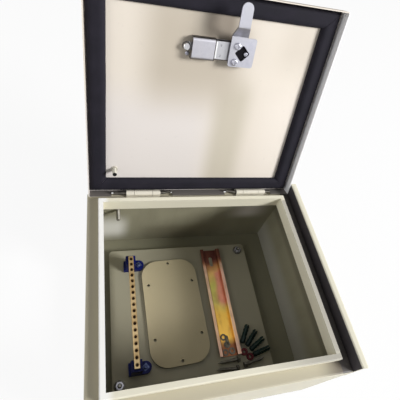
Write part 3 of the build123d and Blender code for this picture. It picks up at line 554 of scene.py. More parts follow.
class Builder:
    """Turns grids of points into finished pieces that ride on a body.

    Edges past the sharp angle stay sharp, and points nearer than the two distances are merged.
    """

    SHARP = math.radians(38.0)
    SAME_POINT = 1e-7
    NO_LENGTH = 1e-8

    def piece(
        self, name: str, skins: list[Skin], finish: bpy.types.Material, body: Body, slot: str, replaces: str
    ) -> bpy.types.Object:
        """Make one piece from its skins.

        Args:
            name: The piece's name.
            skins: Its surfaces, in the cabinet's frame.
            finish: Its material.
            body: The body that it rides on.
            slot: The record's material slot that it is painted from; not used.
            replaces: The plain solid that it stands for.

        Returns:
            The new object.
        """
        starts = np.cumsum([0] + [skin.points[..., 0].size for skin in skins])
        points = np.concatenate([skin.points.reshape(-1, 3) for skin in skins])
        faces = np.concatenate([skin.quads(int(start)) for skin, start in zip(skins, starts)])
        mesh = bpy.data.meshes.new(name)
        mesh.vertices.add(len(points))
        mesh.vertices.foreach_set("co", points.ravel())
        mesh.loops.add(faces.size)
        mesh.loops.foreach_set("vertex_index", faces.ravel())
        mesh.polygons.add(len(faces))
        mesh.polygons.foreach_set("loop_start", np.arange(0, faces.size, 4))
        mesh.update(calc_edges=True)
        self._close(mesh)
        mesh.materials.append(finish)
        made = bpy.data.objects.new(name, mesh)
        bpy.context.scene.collection.objects.link(made)
        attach(made, body.value)
        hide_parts(replaces)
        LOG.info("%s: %d points, rides on %s", name, len(mesh.vertices), body.value)
        return made

    def _close(self, mesh: bpy.types.Mesh) -> None:
        """Merge the points of seams and poles, point the faces outwards and shade them smooth.

        Args:
            mesh: The mesh to finish, whose edges stay sharp past the sharp angle.
        """
        work = bmesh.new()
        work.from_mesh(mesh)
        bmesh.ops.remove_doubles(work, verts=work.verts, dist=self.SAME_POINT)
        bmesh.ops.dissolve_degenerate(work, dist=self.NO_LENGTH, edges=work.edges)
        bmesh.ops.recalc_face_normals(work, faces=work.faces)
        for face in work.faces:
            face.smooth = True
        for edge in work.edges:
            edge.smooth = edge.calc_face_angle(0.0) < self.SHARP
        work.to_mesh(mesh)
        work.free()


@dataclass(frozen=True)
class Swing:
    """The turn of the door from shut to the pose that the frame holds."""

    pivot_y: float
    pivot_z: float
    angle: float

    @classmethod
    def from_joint(cls, joint: dict) -> "Swing":
        """Read the door's hinge.

        Args:
            joint: The hinge's row in the frame, whose upper limit is the door shut.

        Returns:
            The swing.
        """
        _, y, z = joint["pos_m"]
        return cls(y, z, math.radians(joint["range_deg"][1]))

    def _turn(self, points: np.ndarray, angle: float) -> np.ndarray:
        """Turn points about the hinge line: y and z take the usual turn by the angle.

        Args:
            points: Points as rows of x, y and z.
            angle: The turn, in radians.

        Returns:
            The turned points.
        """
        pivot = np.array([0.0, self.pivot_y, self.pivot_z])
        c, s = math.cos(angle), math.sin(angle)
        turn = np.array([[1, 0, 0], [0, c, -s], [0, s, c]])
        return (points - pivot) @ turn.T + pivot

    def opened(self, skin: Skin) -> Skin:
        """Take a skin from the shut door to its rest pose."""
        return Skin(self._turn(skin.points, -self.angle))

    def shut_box(self, node: str) -> tuple[np.ndarray, np.ndarray]:
        """Measure a node of the door as if the door were shut.

        Args:
            node: The node's name.

        Returns:
            Its lowest and highest corners.
        """
        mesh = bpy.data.objects[node].data
        flat = np.empty(len(mesh.vertices) * 3)
        mesh.vertices.foreach_get("co", flat)
        shut = self._turn(flat.reshape(-1, 3), self.angle)
        return shut.min(axis=0), shut.max(axis=0)


@dataclass(frozen=True)
class Thread:
    """A screw thread on a round bar that stands on the origin and points along +Z.

    The chamfer is counted in thread depths, and the tip is the share of the radius that is left
    at the end of a point.
    """

    radius: float
    pitch: float
    depth: float
    steps: int = 8
    around: int = 28
    chamfer: float = 1.2
    tip: float = 0.04

    def skin(self, low: float, high: float, core: float = 0.0, point: float = 0.0) -> Skin:
        """Wind the thread.

        The radius is the bar's, less the depth times a triangle wave of the height over the pitch
        minus the angle over a full turn. Near each end it is held under a 45 degree chamfer, and
        over a point it falls with the distance from the tip.

        Args:
            low: Where the bar starts.
            high: Where it ends.
            core: Length of plain bar before the thread.
            point: Length of a tapered point at the upper end.

        Returns:
            The closed surface.
        """
        rows = max(4, int((high - low) / self.pitch * self.steps))
        height = np.linspace(low, high, rows)[:, None]
        angle = np.linspace(0, 2 * np.pi, self.around, endpoint=False)[None, :]
        wave = np.abs(((height / self.pitch - angle / (2 * np.pi)) % 1.0) * 2 - 1)
        threaded = np.clip((height - low - core) / self.pitch, 0, 1)
        radius = self.radius - self.depth * threaded * (1 - wave)
        end_radius = self.radius - self.chamfer * self.depth
        radius = np.minimum(radius, end_radius + (height - low))
        radius = np.minimum(radius, end_radius + (high - height))
        if point:
            radius = radius * np.clip((high - height) / point, self.tip, 1)
        grid = np.stack([radius * np.cos(angle), radius * np.sin(angle), height + 0 * angle], axis=-1)
        pole_low = np.broadcast_to([0, 0, low], (1, self.around, 3))
        pole_high = np.broadcast_to([0, 0, high], (1, self.around, 3))
        return Skin(np.concatenate([pole_low, grid, pole_high]))


def turned(profile: list[tuple[float, float]], around: int = 32) -> Skin:
    """Turn a profile about the Z axis: each (radius, height) goes round a full circle.

    Args:
        profile: The outline, from pole to pole.
        around: Points in a circle.

    Returns:
        The closed surface.
    """
    radius, height = np.array(profile).T
    angle = np.linspace(0, 2 * np.pi, around, endpoint=False)
    grid = np.stack(
        [np.outer(radius, np.cos(angle)), np.outer(radius, np.sin(angle)), np.outer(height, np.ones(around))],
        axis=-1,
    )
    return Skin(grid)


def opposite_corners(node: str, radius: float) -> list[tuple[float, float]]:
    """Find the axes of two upright round bars that stand in opposite corners of a node's box.

    Args:
        node: The node's name.
        radius: The bars' radius.

    Returns:
        Each axis as (x, y), from the lower corner to the upper one.
    """
    low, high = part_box(node)
    return [(low.x + radius, low.y + radius), (high.x - radius, high.y - radius)]


@dataclass
class Studs:
    """The mounting plate's weld studs and the two earth studs, with their threads."""

    builder: Builder
    swing: Swing
    finishes: dict[str, bpy.types.Material]
    radius: float = 3.0 * MM
    pitch: float = 1.0 * MM
    depth: float = 0.55 * MM
    buried: float = 6.0 * MM
    collar_radius: float = 4.4 * MM
    collar: float = 1.6 * MM
    neck: float = 1.0 * MM
    fillet: float = 0.4 * MM

    @property
    def thread(self) -> Thread:
        """The thread that all the studs have."""
        return Thread(self.radius, self.pitch, self.depth)

    def build(self) -> None:
        """Make all the studs."""
        self._plate_studs()
        self._body_stud()
        self._door_stud()

    def _plate_studs(self) -> None:
        """The two weld studs that hold the mounting plate, plain inside their spacers."""
        low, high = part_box("plate_studs")
        stud = self.thread.skin(low.z, high.z, core=self.buried)
        places = opposite_corners("plate_studs", self.radius)
        skins = [stud.placed(Matrix.Translation((x, y, 0))) for x, y in places]
        finish = self.finishes["plate_stud"]
        self.builder.piece("plate_studs_threaded", skins, finish, Body.CABINET, "zinc", "plate_studs")

    def _body_stud(self) -> None:
        """The earth stud that stands out of the far wall, towards -Y."""
        low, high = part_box("body_earth_stud")
        root = Vector(((low.x + high.x) / 2, high.y, (low.z + high.z) / 2))
        matrix = Matrix.Translation(root) @ Matrix.Rotation(math.radians(90), 4, "X")
        skins = [skin.placed(matrix) for skin in self._standing(high.y - low.y)]
        finish = self.finishes["body_stud"]
        self.builder.piece("body_earth_stud_threaded", skins, finish, Body.CABINET, "zinc", "body_earth_stud")

    def _door_stud(self) -> None:
        """The earth stud that hangs from the shut door's inner face."""
        low, high = self.swing.shut_box("door_earth_stud")
        root = Vector(((low[0] + high[0]) / 2, (low[1] + high[1]) / 2, high[2]))
        matrix = Matrix.Translation(root) @ Matrix.Rotation(math.pi, 4, "X")
        skins = [self.swing.opened(skin.placed(matrix)) for skin in self._standing(high[2] - low[2])]
        finish = self.finishes["door_stud"]
        self.builder.piece("door_earth_stud_threaded", skins, finish, Body.DOOR, "zinc", "door_earth_stud")

    def _standing(self, length: float) -> list[Skin]:
        """A threaded stud with a collar at its root, standing on the origin.

        Args:
            length: Its height over the wall.

        Returns:
            The collar's and the stud's skins.
        """
        shoulder, inner = self.collar - self.fillet, self.collar_radius - self.fillet
        profile = [(0, 0), (self.collar_radius, 0), (self.collar_radius, shoulder),
                   (inner, self.collar), (0, self.collar)]
        return [turned(profile), self.thread.skin(self.collar / 2, length, core=self.neck)]


@dataclass
class Seal:
    """The door's foam seal: four strips with mitred corners and softly rounded edges.

    The edges wander by two waves, given in radians to a metre. From strip to strip the slow one
    moves on by the shift and the quick one by a radian.
    """

    builder: Builder
    swing: Swing
    finish: bpy.types.Material
    widths: tuple[float, ...] = (22.0 * MM, 22.0 * MM, 20.0 * MM, 22.0 * MM)
    crown: float = 7.5 * MM
    crown_drop: float = 5.5 * MM
    mitre_gap: float = 0.22 * MM
    ripple: float = 0.22 * MM
    slow_wave: float = 38.0
    quick_wave: float = 91.0
    shift: float = 1.7
    root: float = 0.4 * MM
    steps: int = 90
    round_points: int = 10
    flat_points: int = 8

    def build(self) -> None:
        """Make the seal, one skin to a strip."""
        low, high = self.swing.shut_box("door_gasket")
        corners = [(low[0], low[1]), (high[0], low[1]), (high[0], high[1]), (low[0], high[1])]
        strips = [self._strip(corners[k], corners[(k + 1) % 4], low[2], high[2], k) for k in range(4)]
        skins = [self.swing.opened(strip) for strip in strips]
        self.builder.piece("door_gasket_foam", skins, self.finish, Body.DOOR, "foam_rubber", "door_gasket")

    def _profile(self, width: float, thick: float) -> np.ndarray:
        """The strip's section: a flat top that falls off in a quarter of an ellipse at each side.

        Args:
            width: The strip's width.
            thick: Its thickness.

        Returns:
            Rows of (depth into the frame, height).
        """
        arc = np.linspace(0, np.pi / 2, self.round_points)
        fall = thick - self.crown_drop * (1 - np.sin(arc))
        near = np.stack([self.crown * (1 - np.cos(arc)), fall], axis=-1)
        far = np.stack([width - near[::-1, 0], near[::-1, 1]], axis=-1)
        middle = np.linspace(near[-1], far[0], self.flat_points)[1:-1]
        return np.concatenate([[[0, 0]], near, middle, far, [[width, 0]]])

    def _strip(self, start: Span, end: Span, low: float, high: float, turn: int) -> Skin:
        """Carry the section along one side.

        A point at depth d into the frame starts further in by d times the last strip's width over
        this one's, and ends so by the next one's, so the ends meet in mitres from corner to corner.
        The free edges wander by the mean of a slow and a quick sine of the distance along.

        Args:
            start: The outer corner that the strip starts at.
            end: The outer corner that it ends at.
            low: The free face's height.
            high: The stuck face's height.
            turn: The side's number, which shifts the wander.

        Returns:
            The strip's closed surface.
        """
        first, last = np.array(start), np.array(end)
        length = np.linalg.norm(last - first)
        along = (last - first) / length
        inward = np.array([-along[1], along[0]])
        width = self.widths[turn]
        profile = self._profile(width, high - low)
        depth, height = profile[:, 0], profile[:, 1]
        share = np.linspace(0, 1, self.steps)[:, None]
        before = depth[None, :] * self.widths[turn - 1] / width + self.mitre_gap
        after = depth[None, :] * self.widths[(turn + 1) % 4] / width + self.mitre_gap
        run = before + share * (length - before - after)
        slow = np.sin(run * self.slow_wave + self.shift * turn)
        quick = np.sin(run * self.quick_wave + turn)
        wander = self.ripple * (slow + quick) / 2
        free = (height > self.root)[None, :] * (1 - 2 * depth[None, :] / width)
        side = depth[None, :] + np.clip(wander * free, 0, None)
        flat = first + run[..., None] * along + side[..., None] * inward
        grid = np.concatenate([flat, (high - height)[None, :, None] + 0 * run[..., None]], axis=-1)
        centre = grid.mean(axis=1, keepdims=True)
        ends = [np.repeat(centre[k:k + 1], grid.shape[1], axis=1) for k in (0, -1)]
        return Skin(np.concatenate([ends[0], grid, ends[1]]))


@dataclass
class LooseScrews:
    """The wood screws that lie on the mounting plate, with hexagon heads and coarse threads.

    A spot is a screw's middle along X and Y in millimetres and its turn in degrees.
    """

    builder: Builder
    finish: bpy.types.Material
    spots: tuple[Triple, ...] = (
        (44.0, -86.0, 183.0), (40.0, -97.0, 176.0), (76.0, -105.0, -2.0), (82.0, -92.0, 10.0)
    )
    head_radius: float = 5.0 * MM
    head: float = 3.4 * MM
    head_edge: float = 0.8
    head_bevel: float = 0.92
    shank: float = 2.4 * MM
    pitch: float = 1.8 * MM
    depth: float = 0.7 * MM
    length: float = 26.0 * MM
    point: float = 7.0 * MM
    plain: float = 7.0 * MM

    def build(self) -> None:
        """Make the screws where their plain solids lie."""
        low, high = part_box("fixing_screws")
        axis_z = (low.z + high.z) / 2
        skins = []
        for x, y, turn in self.spots:
            matrix = (
                Matrix.Translation((x * MM, y * MM, axis_z))
                @ Matrix.Rotation(math.radians(turn), 4, "Z")
                @ Matrix.Rotation(math.radians(90), 4, "Y")
                @ Matrix.Translation((0, 0, -self.length / 2))
            )
            skins += [skin.placed(matrix) for skin in self._screw()]
        self.builder.piece(
            "fixing_screws_threaded", skins, self.finish, Body.CABINET, "zinc", "fixing_screws"
        )

    def _screw(self) -> list[Skin]:
        """One screw along +Z from its head's bearing face.

        The head's rings are hexagons whose radius and height are shares of the head's.

        Returns:
            The head's and the shank's skins.
        """
        ring = [(0, 0), (1, 0), (1, -self.head_edge), (self.head_bevel, -1), (0, -1)]
        angle = np.arange(6) * np.pi / 3
        rows = [
            np.stack([r * self.head_radius * np.cos(angle), r * self.head_radius * np.sin(angle),
                      np.full(6, z * self.head)], axis=-1)
            for r, z in ring
        ]
        thread = Thread(self.shank, self.pitch, self.depth, steps=10, around=20)
        return [Skin(np.stack(rows)), thread.skin(0.0, self.length + self.point, self.plain, self.point)]


def both(half: float) -> Span:
    """The span that reaches as far to each side."""
    return (-half, half)


@dataclass(frozen=True)
class CabinetLightAndShade:
    """The painted light and shade on the body's paint, laid out from the sizes of its folds, in millimetres.

    Near is -Y, far is +Y and right is +X. Margins of about a millimetre keep each tone on its
    own face of the sheet.
    """

    side: float
    face: float
    lip: float
    sheet: float = 1.2
    flange_width: float = 15.0
    lip_height: float = 10.0
    hem_depth: float = 20.0
    back: float = 2.5

    @classmethod
    def from_frame(cls) -> "CabinetLightAndShade":
        """Take the half length, the half width and the lip's top from the body's box."""
        return cls(*(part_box("cabinet_shell")[1] / MM))

    def room(self) -> Zone:
        """Painted shade: the inside of the body, from wall to wall and up to the hem's edge, in a dark olive.
        """
        x, y = self.side - self.sheet + 0.4, self.face - self.sheet + 0.4
        return Zone((0.30, 0.285, 0.200), both(x), both(y), (-OPEN, self.lip - self.hem_depth - 0.2))

    def lining(self) -> Zone:
        """Painted shade: the dark wall of the channel between the upper lip and the rain eave, which faces
        away from the light.

        Returns:
            The zone, which is for the eave's own paint.
        """
        channel = (self.side - 1.0, self.side + self.sheet / 2)
        height = (self.lip - self.lip_height - 2.2, OPEN)
        return Zone((0.045, 0.040, 0.043), channel, both(self.face - 0.3), height)

    def zones(self) -> tuple[Zone, ...]:
        """Lay out the painted light and shade that lie over the inside's painted shade.

        Returns:
            The zones, each of which covers the ones before it.
        """
        inner_x, inner_y = self.side - self.sheet, self.face - self.sheet
        mouth_x, mouth_y = self.side - self.flange_width, self.face - self.flange_width
        flange, hem = self.lip - self.lip_height, self.lip - self.hem_depth
        half_sheet = self.sheet / 2
        ledge = (flange - 1.0, flange + self.sheet)
        lip_top = (self.lip - self.sheet, OPEN)
        far_wall = (inner_y - 0.8, inner_y + 0.4)
        right_wall = (inner_x - 0.8, inner_x + 0.4)
        across = both(inner_y + 0.4)
        return (
            # painted shade: the flange round the mouth, darkened for the lip's shadow on it
            Zone((0.51, 0.465, 0.345), z=ledge),
            # the mouth's own ring, from the hem up to the lip
            Zone((0.78, 0.745, 0.60), both(mouth_x - half_sheet), both(mouth_y - half_sheet),
                 (hem - 0.1, self.lip - 5.0)),
            # the lips: a painted highlight on the left one, painted shade on the right one and along the near
            # one
            Zone((0.98, 0.975, 0.94), (-self.side - 10.0, -self.side + 32.0), z=lip_top,
                 ease=(10.0, 0.3, 0.3)),
            Zone((0.49, 0.465, 0.40), (mouth_x - 7.0, mouth_x + 8.0), (-mouth_y + 6.0, mouth_y - 7.5),
                 (hem - 0.3, OPEN), (0.3, 5.0, 0.3)),
            Zone((0.44, 0.42, 0.36), (20.0, OPEN), (-OPEN, -mouth_y + 10.0), lip_top, (110.0, 4.0, 0.3)),
            # painted shade on the near flange's right end, and a darker tone on the near outer face
            Zone((0.14, 0.115, 0.085), (106.0, OPEN), (-OPEN, -mouth_y + 0.8), ledge, (44.0, 0.3, 0.3)),
            Zone((0.62, 0.585, 0.465), y=(-OPEN, -self.face + half_sheet), z=(-OPEN, ledge[0])),
            # painted shade: the gutter beside the rain eave, in the eave's shadow
            Zone((0.085, 0.076, 0.070), (mouth_x - 0.2, self.side + half_sheet), both(self.face - 0.3),
                 (flange - 2.2, OPEN)),
            # the far wall: painted shade low in its middle, a painted patch of light at the left, a painted
            # band of light at the right
            Zone((0.20, 0.18, 0.12), (-90.0, 80.0), far_wall, (-OPEN, 55.0), (50.0, 0.3, 20.0), 0.6),
            Zone((0.76, 0.75, 0.69), (-OPEN, -90.0), far_wall, (-4.0, 94.0), (26.0, 0.3, 44.0)),
            Zone((0.86, 0.82, 0.79), (60.0, inner_x + 0.4), far_wall, (58.0, hem - 0.2), (60.0, 0.3, 26.0)),
            # the right wall: painted shade at its top and painted light below
            Zone((0.15, 0.14, 0.10), right_wall, across, (82.0, hem - 0.2), (0.3, 0.3, 14.0), 0.7),
            Zone((0.42, 0.41, 0.37), right_wall, across, (-OPEN, 62.0), (0.3, 0.3, 34.0), 0.7),
            # painted shade on the back
            Zone((0.225, 0.215, 0.145), z=(-OPEN, self.back)),
        )


@dataclass(frozen=True)
class DoorLightAndShade:
    """The painted light and shade on the door's paint, laid out with the door shut, in millimetres; its outer
    faces keep the paint's own cream.
    """

    rim_x: float
    rim_y: float
    outside: float
    sheet: float = 1.2
    outer_cream: Colour = (0.79, 0.75, 0.615)

    @classmethod
    def from_swing(cls, swing: Swing) -> "DoorLightAndShade":
        """Take the rim's half sizes and the outer face from the shut door's box."""
        return cls(*(swing.shut_box("door_pan")[1] / MM))

    def zones(self) -> tuple[Zone, ...]:
        """Lay out the painted light and shade over the inner face first, then over the rim, then the
        outside's own cream.

        Returns:
            The zones, each of which covers the ones before it.
        """
        inside = (-OPEN, self.outside - self.sheet / 2)
        strip, fold = both(self.rim_x - 1.35), self.rim_y - 1.4
        return (
            # the hinge side: a cooler tone to the left and painted light to the right of a soft painted
            # shadow
            Zone((0.745, 0.695, 0.66), (-OPEN, 45.0), (-45.0, OPEN), inside, (70.0, 70.0, 0.3)),
            Zone((0.80, 0.73, 0.65), (60.0, OPEN), (-55.0, OPEN), inside, (50.0, 60.0, 0.3)),
            Zone((0.55, 0.50, 0.40), (-6.0, 74.0), (-60.0, OPEN), inside, (32.0, 50.0, 0.3), 0.85),
            # the lock side: a broad painted shade, the lock's painted shadow in it, and a lighter painted
            # shade at the right end
            Zone((0.49, 0.43, 0.345), (-115.0, 60.0), (-180.0, 36.0), inside, (52.0, 85.0, 0.3), 0.90),
            Zone((0.22, 0.18, 0.14), (-30.0, 30.0), (-140.0, -70.0), inside, (20.0, 22.0, 0.3), 0.8),
            Zone((0.64, 0.575, 0.49), (62.0, OPEN), (-150.0, -35.0), inside, (45.0, 50.0, 0.3), 0.8),
            # painted shade on the strip between the seal and the hinge side's rim, and on the rim's edge
            Zone((0.030, 0.027, 0.030), strip, (self.rim_y - 14.5, fold), inside, (0.3, 0.4, 0.3)),
            Zone((0.16, 0.145, 0.135), strip, (fold, self.rim_y - 0.1), inside, (0.3, 0.2, 0.3)),
            # a painted highlight on the rim at the right
            Zone((0.90, 0.90, 0.91), (self.rim_x - 1.85, OPEN), z=inside, ease=(0.4, 0.3, 0.3)),
            # the outer faces
            Zone(self.outer_cream, z=(inside[1] - 0.2, OPEN)),
            Zone(self.outer_cream, x=(-OPEN, -self.rim_x + 0.35)),
            Zone(self.outer_cream, y=(self.rim_y - 0.3, OPEN)),
        )


@dataclass(frozen=True)
class LockLightAndShade:
    """The painted shade and highlights about the lock's clamp, laid out with the door shut, in millimetres.
    """

    low: Triple
    high: Triple

    @classmethod
    def from_swing(cls, swing: Swing) -> "LockLightAndShade":
        """Take the clamp's corners."""
        low, high = swing.shut_box("lock_clamp")
        return cls(tuple(low / MM), tuple(high / MM))

    def clamp(self) -> tuple[Zone, ...]:
        """Painted shade on the clamp's two ends and its right edge.

        Returns:
            The zones.
        """
        ease = (0.6, 0.6, 0.6)
        return (
            Zone((0.04, 0.034, 0.036), y=(-OPEN, self.low[1] + 1.1), ease=ease),
            Zone((0.10, 0.09, 0.09), y=(self.high[1] - 1.4, OPEN), ease=ease),
            Zone((0.09, 0.08, 0.08), x=(self.high[0] - 1.4, OPEN), ease=ease),
        )

    def housing(self) -> tuple[Zone, ...]:
        """Painted shade and a painted highlight on the housing's faces beside the clamp: a dark face, a
        bright one and two dim corners.

        Returns:
            The zones.
        """
        left, right = self.low[0], self.high[0]
        near, far = self.low[1], self.high[1]
        inside = (-OPEN, self.high[2] + 0.2)
        return (
            Zone((0.006, 0.005, 0.007), (left, left + 4.6), z=inside),
            Zone((0.98, 0.98, 0.98), (right, right + 3.2), (near + 3.0, far - 3.0), inside, (0.4, 1.0, 0.3)),
            Zone((0.03, 0.026, 0.028), (right, OPEN), (-OPEN, near + 2.4), inside),
            Zone((0.07, 0.062, 0.062), (right, OPEN), (far - 2.8, OPEN), inside),
        )


class Workshop:
    """The finishes of the whole cabinet and the pieces that wear them.

    A finish has the name of the record's slot that it is for, or a name of its own where only
    some of the slot's nodes wear it.
    """

    CREAM: Colour = (0.80, 0.765, 0.625)
    CREAM_SHADE: Colour = (0.75, 0.715, 0.57)
    DOOR_CREAM: Colour = (0.76, 0.69, 0.60)
    DOOR_SHADE: Colour = (0.73, 0.665, 0.585)
    # nodes that wear another finish than their slot's
    OWN_FINISH: dict[str, str] = {
        "fixing_washers": "dull_zinc",
        "plate_washers": "dull_zinc",
        "insulator_screws": "blue_zinc",
        "lock_clamp": "clamp_zinc",
        "lower_hinge_pin": "pin_steel",
        "upper_hinge_pin": "pin_steel",
    }

    def __init__(self, frame: dict, swing: Swing) -> None:
        """Build every finish.

        Args:
            frame: What the loaded frame holds.
            swing: The door's swing.
        """
        self.nodes = frame["nodes"]
        self.swing = swing
        finishes = (*self._paints(), *self._metals(), *self._lock_metals(), *self._plastics())
        self.finishes = {finish.name: finish.material() for finish in finishes}

    def _paints(self) -> tuple[Finish, ...]:
        """The painted sheets.

        Returns:
            The paints.
        """
        body, door = CabinetLightAndShade.from_frame(), DoorLightAndShade.from_swing(self.swing)
        cream = (self.CREAM, self.CREAM_SHADE)
        return (
            # the body's paint carries painted shade inside and zones of painted light and shade
            Paint("cabinet_paint", *cream, room=body.room(), zones=body.zones()),
            # painted shade on the eave's wall of the channel
            Paint("eave_paint", *cream, zones=(body.lining(),)),
            Paint(
                "door_paint", self.DOOR_CREAM, self.DOOR_SHADE, 0.46, zones=door.zones(), turn=self.swing
            ),
            # painted shade: the mounting plate's paint is a darkened olive grey for the shade inside the
            # cabinet
            Paint("plate_zinc", (0.40, 0.375, 0.275), (0.34, 0.32, 0.235)),
            Paint("gland_paint", (0.62, 0.54, 0.35), (0.54, 0.47, 0.295)),
            Paint("hinge_paint", (0.70, 0.66, 0.56), (0.60, 0.57, 0.48), zones=self._seams()),
        )

    def _metals(self) -> tuple[Finish, ...]:
        """The rail, the earth bar, the studs and the small hardware.

        Returns:
            The metals.
        """
        low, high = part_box("mounting_rail")
        return (
            Metal("zinc", (0.56, 0.56, 0.61), (0.42, 0.42, 0.48)),
            Metal("dull_zinc", (0.19, 0.18, 0.15), (0.10, 0.094, 0.078), 0.5),
            Metal("blue_zinc", (0.14, 0.17, 0.30), (0.08, 0.10, 0.20), 0.4),
            Metal("pin_steel", (0.17, 0.16, 0.14), (0.05, 0.046, 0.04), 0.36),
            # painted shade: the plate's studs are near black for the shade in their nuts' bores, with paler
            # tips
            Metal(
                "plate_stud", (0.05, 0.048, 0.04), (0.03, 0.03, 0.025), 0.45, zones=self._plate_stud_tips()
            ),
            Metal("body_stud", (0.36, 0.345, 0.30), (0.22, 0.21, 0.18), 0.5),
            Metal(
                "door_stud", (0.58, 0.55, 0.48), (0.46, 0.44, 0.38), 0.5,
                zones=self._door_stud_tip(), turn=self.swing,
            ),
            Metal("bright_steel", (0.62, 0.60, 0.56), (0.40, 0.38, 0.35), 0.35),
            Metal("brass", (0.68, 0.51, 0.28), (0.50, 0.35, 0.17), 0.36, Direction.ALONG_Y),
            # painted shade: the earth bar's terminal screws are near black for the shade in their wells
            Metal("nickel_brass", (0.05, 0.030, 0.018), (0.02, 0.012, 0.008), 0.5),
            Passivated("yellow_passivated", low.y, high.y, (low.x + high.x) / 2),
        )

    def _lock_metals(self) -> tuple[Finish, ...]:
        """The lock's clamp, housing and button.

        Returns:
            The metals.
        """
        lock = LockLightAndShade.from_swing(self.swing)
        return (
            Metal(
                "clamp_zinc", (0.60, 0.59, 0.63), (0.47, 0.465, 0.51), zones=lock.clamp(), turn=self.swing
            ),
            Metal(
                "lock_chrome", (0.60, 0.60, 0.63), (0.50, 0.50, 0.52), 0.28,
                zones=lock.housing(), turn=self.swing,
            ),
            Metal("button_chrome", (0.72, 0.72, 0.74), (0.6, 0.6, 0.62), 0.2),
        )

    def _plastics(self) -> tuple[Finish, ...]:
        """The foams, the plastics, the fibre and the black paint.

        Returns:
            Their finishes.
        """
        return (
            Moulded(
                "foam_rubber", (0.015, 0.014, 0.020), (0.021, 0.019, 0.027), 0.7, 0.12,
                grain=1600.0, depth=0.12 * MM, cellular=True,
            ),
            Moulded(
                "grey_foam", (0.05, 0.05, 0.05), (0.08, 0.08, 0.08), 0.8, 0.2,
                grain=1500.0, depth=0.10 * MM, cellular=True,
            ),
            Moulded("blue_plastic", (0.002, 0.008, 0.13), (0.002, 0.005, 0.06), 0.4, 0.2),
            Moulded("green_plastic", (0.004, 0.026, 0.019), (0.002, 0.010, 0.009), 0.35, 0.3),
            Moulded("red_fibre", (0.16, 0.016, 0.026), (0.09, 0.010, 0.014), 0.55, 0.3),
            Moulded("black_paint", (0.003, 0.002, 0.005), (0.005, 0.004, 0.006), 0.6, 0.1),
        )

    def _seams(self, half: float = 0.5) -> tuple[Zone, ...]:
        """The dark seams at both ends of each door leaf's knuckle.

        Args:
            half: Half of a seam's width, in millimetres.

        Returns:
            The zones.
        """
        leaves = ("lower_hinge_door_leaf", "upper_hinge_door_leaf")
        ends = [corner.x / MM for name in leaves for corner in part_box(name)]
        return tuple(Zone((0.10, 0.09, 0.08), (end - half, end + half)) for end in ends)

    def _plate_stud_tips(self, half: float = 1.7) -> tuple[Zone, ...]:
        """The paler tips of the mounting plate's studs.

        Args:
            half: Half of the worn spot's width, in millimetres.

        Returns:
            The zones.
        """
        places = [(x / MM, y / MM) for x, y in opposite_corners("plate_studs", Studs.radius)]
        return tuple(Zone((0.42, 0.41, 0.36), (x - half, x + half), (y - half, y + half)) for x, y in places)

    def _door_stud_tip(self, length: float = 1.6) -> tuple[Zone, ...]:
        """Painted shade: the dark tip of the door's earth stud.

        Args:
            length: How far it reaches from the stud's end, in millimetres.

        Returns:
            The one zone.
        """
        end = self.swing.shut_box("door_earth_stud")[0][2] / MM
        return (Zone((0.02, 0.02, 0.02), z=(-OPEN, end + length)),)

    def dress(self, record: dict) -> None:
        """Give each frame node the finish of its material slot, or its own.

        Args:
            record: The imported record, which names each node's slot.
        """
        for row in record["subparts"]:
            node = self.nodes[row["node"]]
            finish = self.OWN_FINISH.get(row["node"], row["material_slot"])
            node.data.materials.clear()
            node.data.materials.append(self.finishes[finish])
            LOG.info("%s wears %s", row["node"], finish)


@dataclass(frozen=True)
class Lamp:
    """A square soft lamp: its place, what it points at, its side in metres and its power in watts."""

    name: str
    place: Triple
    target: Triple
    side: float
    power: float

    def hang(self) -> None:
        """Add the lamp to the scene."""
        light = bpy.data.lights.new(self.name, "AREA")
        light.size = self.side
        light.energy = self.power
        made = bpy.data.objects.new(self.name, light)
        aim = Vector(self.target) - Vector(self.place)
        turn = aim.to_track_quat("-Z", "Y").to_matrix().to_4x4()
        made.matrix_world = Matrix.Translation(self.place) @ turn
        bpy.context.scene.collection.objects.link(made)


@dataclass(frozen=True)
class Camera:
    """A camera that stands where the photo's perspective puts it.

    The turn is given as an axis whose length is the angle, from a camera that looks straight
    down with +Y up. The focal length and the view's centre are in pixels of the square frame.
    """

    place: Triple = (-0.1401, -0.1709, 0.5783)
    turn: Triple = (0.62304, -0.28119, -0.10187)
    frame_px: float = 400.0
    focal_px: float = 351.944
    centre_px: Span = (208.195, 190.521)
    sensor_mm: float = 36.0
    near_clip: float = 0.01

    def stand(self) -> None:
        """Add the camera to the scene and look through it."""
        data = bpy.data.cameras.new("camera")
        data.sensor_width = self.sensor_mm
        data.lens = self.focal_px / self.frame_px * self.sensor_mm
        data.shift_x = (self.frame_px / 2 - self.centre_px[0]) / self.frame_px
        data.shift_y = (self.centre_px[1] - self.frame_px / 2) / self.frame_px
        data.clip_start = self.near_clip
        made = bpy.data.objects.new("camera", data)
        axis = Vector(self.turn)
        made.matrix_world = Matrix.Translation(self.place) @ Matrix.Rotation(axis.length, 4, axis)
        bpy.context.scene.collection.objects.link(made)
        bpy.context.scene.camera = made


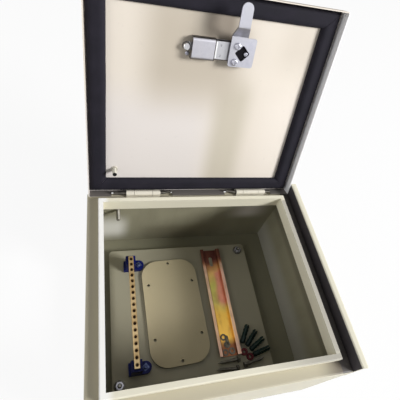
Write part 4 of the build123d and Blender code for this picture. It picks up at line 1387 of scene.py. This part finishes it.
@dataclass
class Studio:
    """The sky, the floor, the lamps and the camera."""

    ambient: float = 0.144
    gloss: float = 0.8
    floor_half: float = 4.0
    floor_drop: float = 0.4 * MM
    floor_colour: Colour = (0.86, 0.86, 0.86)
    floor_glow: float = 0.92
    lamps: tuple[Lamp, ...] = (
        Lamp("key_lamp", (2.49, -1.37, 1.80), (0.0, 0.04, 0.15), 1.05, 142.0),
        Lamp("fill_lamp", (-1.50, -0.25, 0.75), (0.0, 0.0, 0.15), 1.2, 9.5),
    )
    camera: Camera = Camera()

    def build(self) -> None:
        """Set up the light, the floor and the camera."""
        bpy.context.scene.view_settings.view_transform = "Standard"
        self._sky()
        self._floor()
        for lamp in self.lamps:
            lamp.hang()
        self.camera.stand()

    def _sky(self) -> None:
        """A plain sky: white to the eye, nearly so in gloss, and softer as a light."""
        world = bpy.data.worlds.new("studio")
        bpy.context.scene.world = world
        world.use_nodes = True
        nodes = Nodes(world.node_tree)
        ray = nodes.node("ShaderNodeLightPath", {})
        mirrored = Value(nodes, ray.outputs["Is Glossy Ray"]) * self.gloss
        level = Value(nodes, ray.outputs["Is Camera Ray"]).larger(mirrored).larger(self.ambient)
        sky = nodes.node("ShaderNodeBackground", {}, Color=WHITE, Strength=level)
        nodes.node("ShaderNodeOutputWorld", {}, sky.outputs[0])

    def _floor(self) -> None:
        """A wide white floor that keeps a soft part of the shadow."""
        half, z = self.floor_half, -self.floor_drop
        corners = [(-half, -half, z), (half, -half, z), (half, half, z), (-half, half, z)]
        mesh = bpy.data.meshes.new("floor")
        mesh.from_pydata(corners, [], [(0, 1, 2, 3)])
        floor = bpy.data.objects.new("floor", mesh)
        bpy.context.scene.collection.objects.link(floor)
        graph = Graph("floor_white")
        graph.fix(Base_Color=self.floor_colour, Roughness=0.9, Specular_IOR_Level=0.0)
        ray = graph.node("ShaderNodeLightPath", {})
        seen = Value(graph, ray.outputs["Is Camera Ray"]) * self.floor_glow
        glow = graph.node("ShaderNodeEmission", {}, WHITE, 1.0)
        mixed = graph.node("ShaderNodeMixShader", {}, seen, graph.shader.outputs[0], glow.outputs[0])
        graph.feed(graph.output.inputs["Surface"], mixed.outputs[0])
        mesh.materials.append(graph.material)


def main() -> None:
    """Load the frame, dress it, add the detailed pieces and light the scene."""
    logging.basicConfig(level=logging.INFO, format="%(message)s")
    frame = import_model()
    swing = Swing.from_joint(next(joint for joint in frame["joints"] if joint["name"] == "door_hinge"))
    workshop = Workshop(frame, swing)
    workshop.dress(frame["record"])
    builder = Builder()
    Studs(builder, swing, workshop.finishes).build()
    Seal(builder, swing, workshop.finishes["foam_rubber"]).build()
    LooseScrews(builder, workshop.finishes["dull_zinc"]).build()
    Studio().build()


if __name__ == "__main__":
    main()
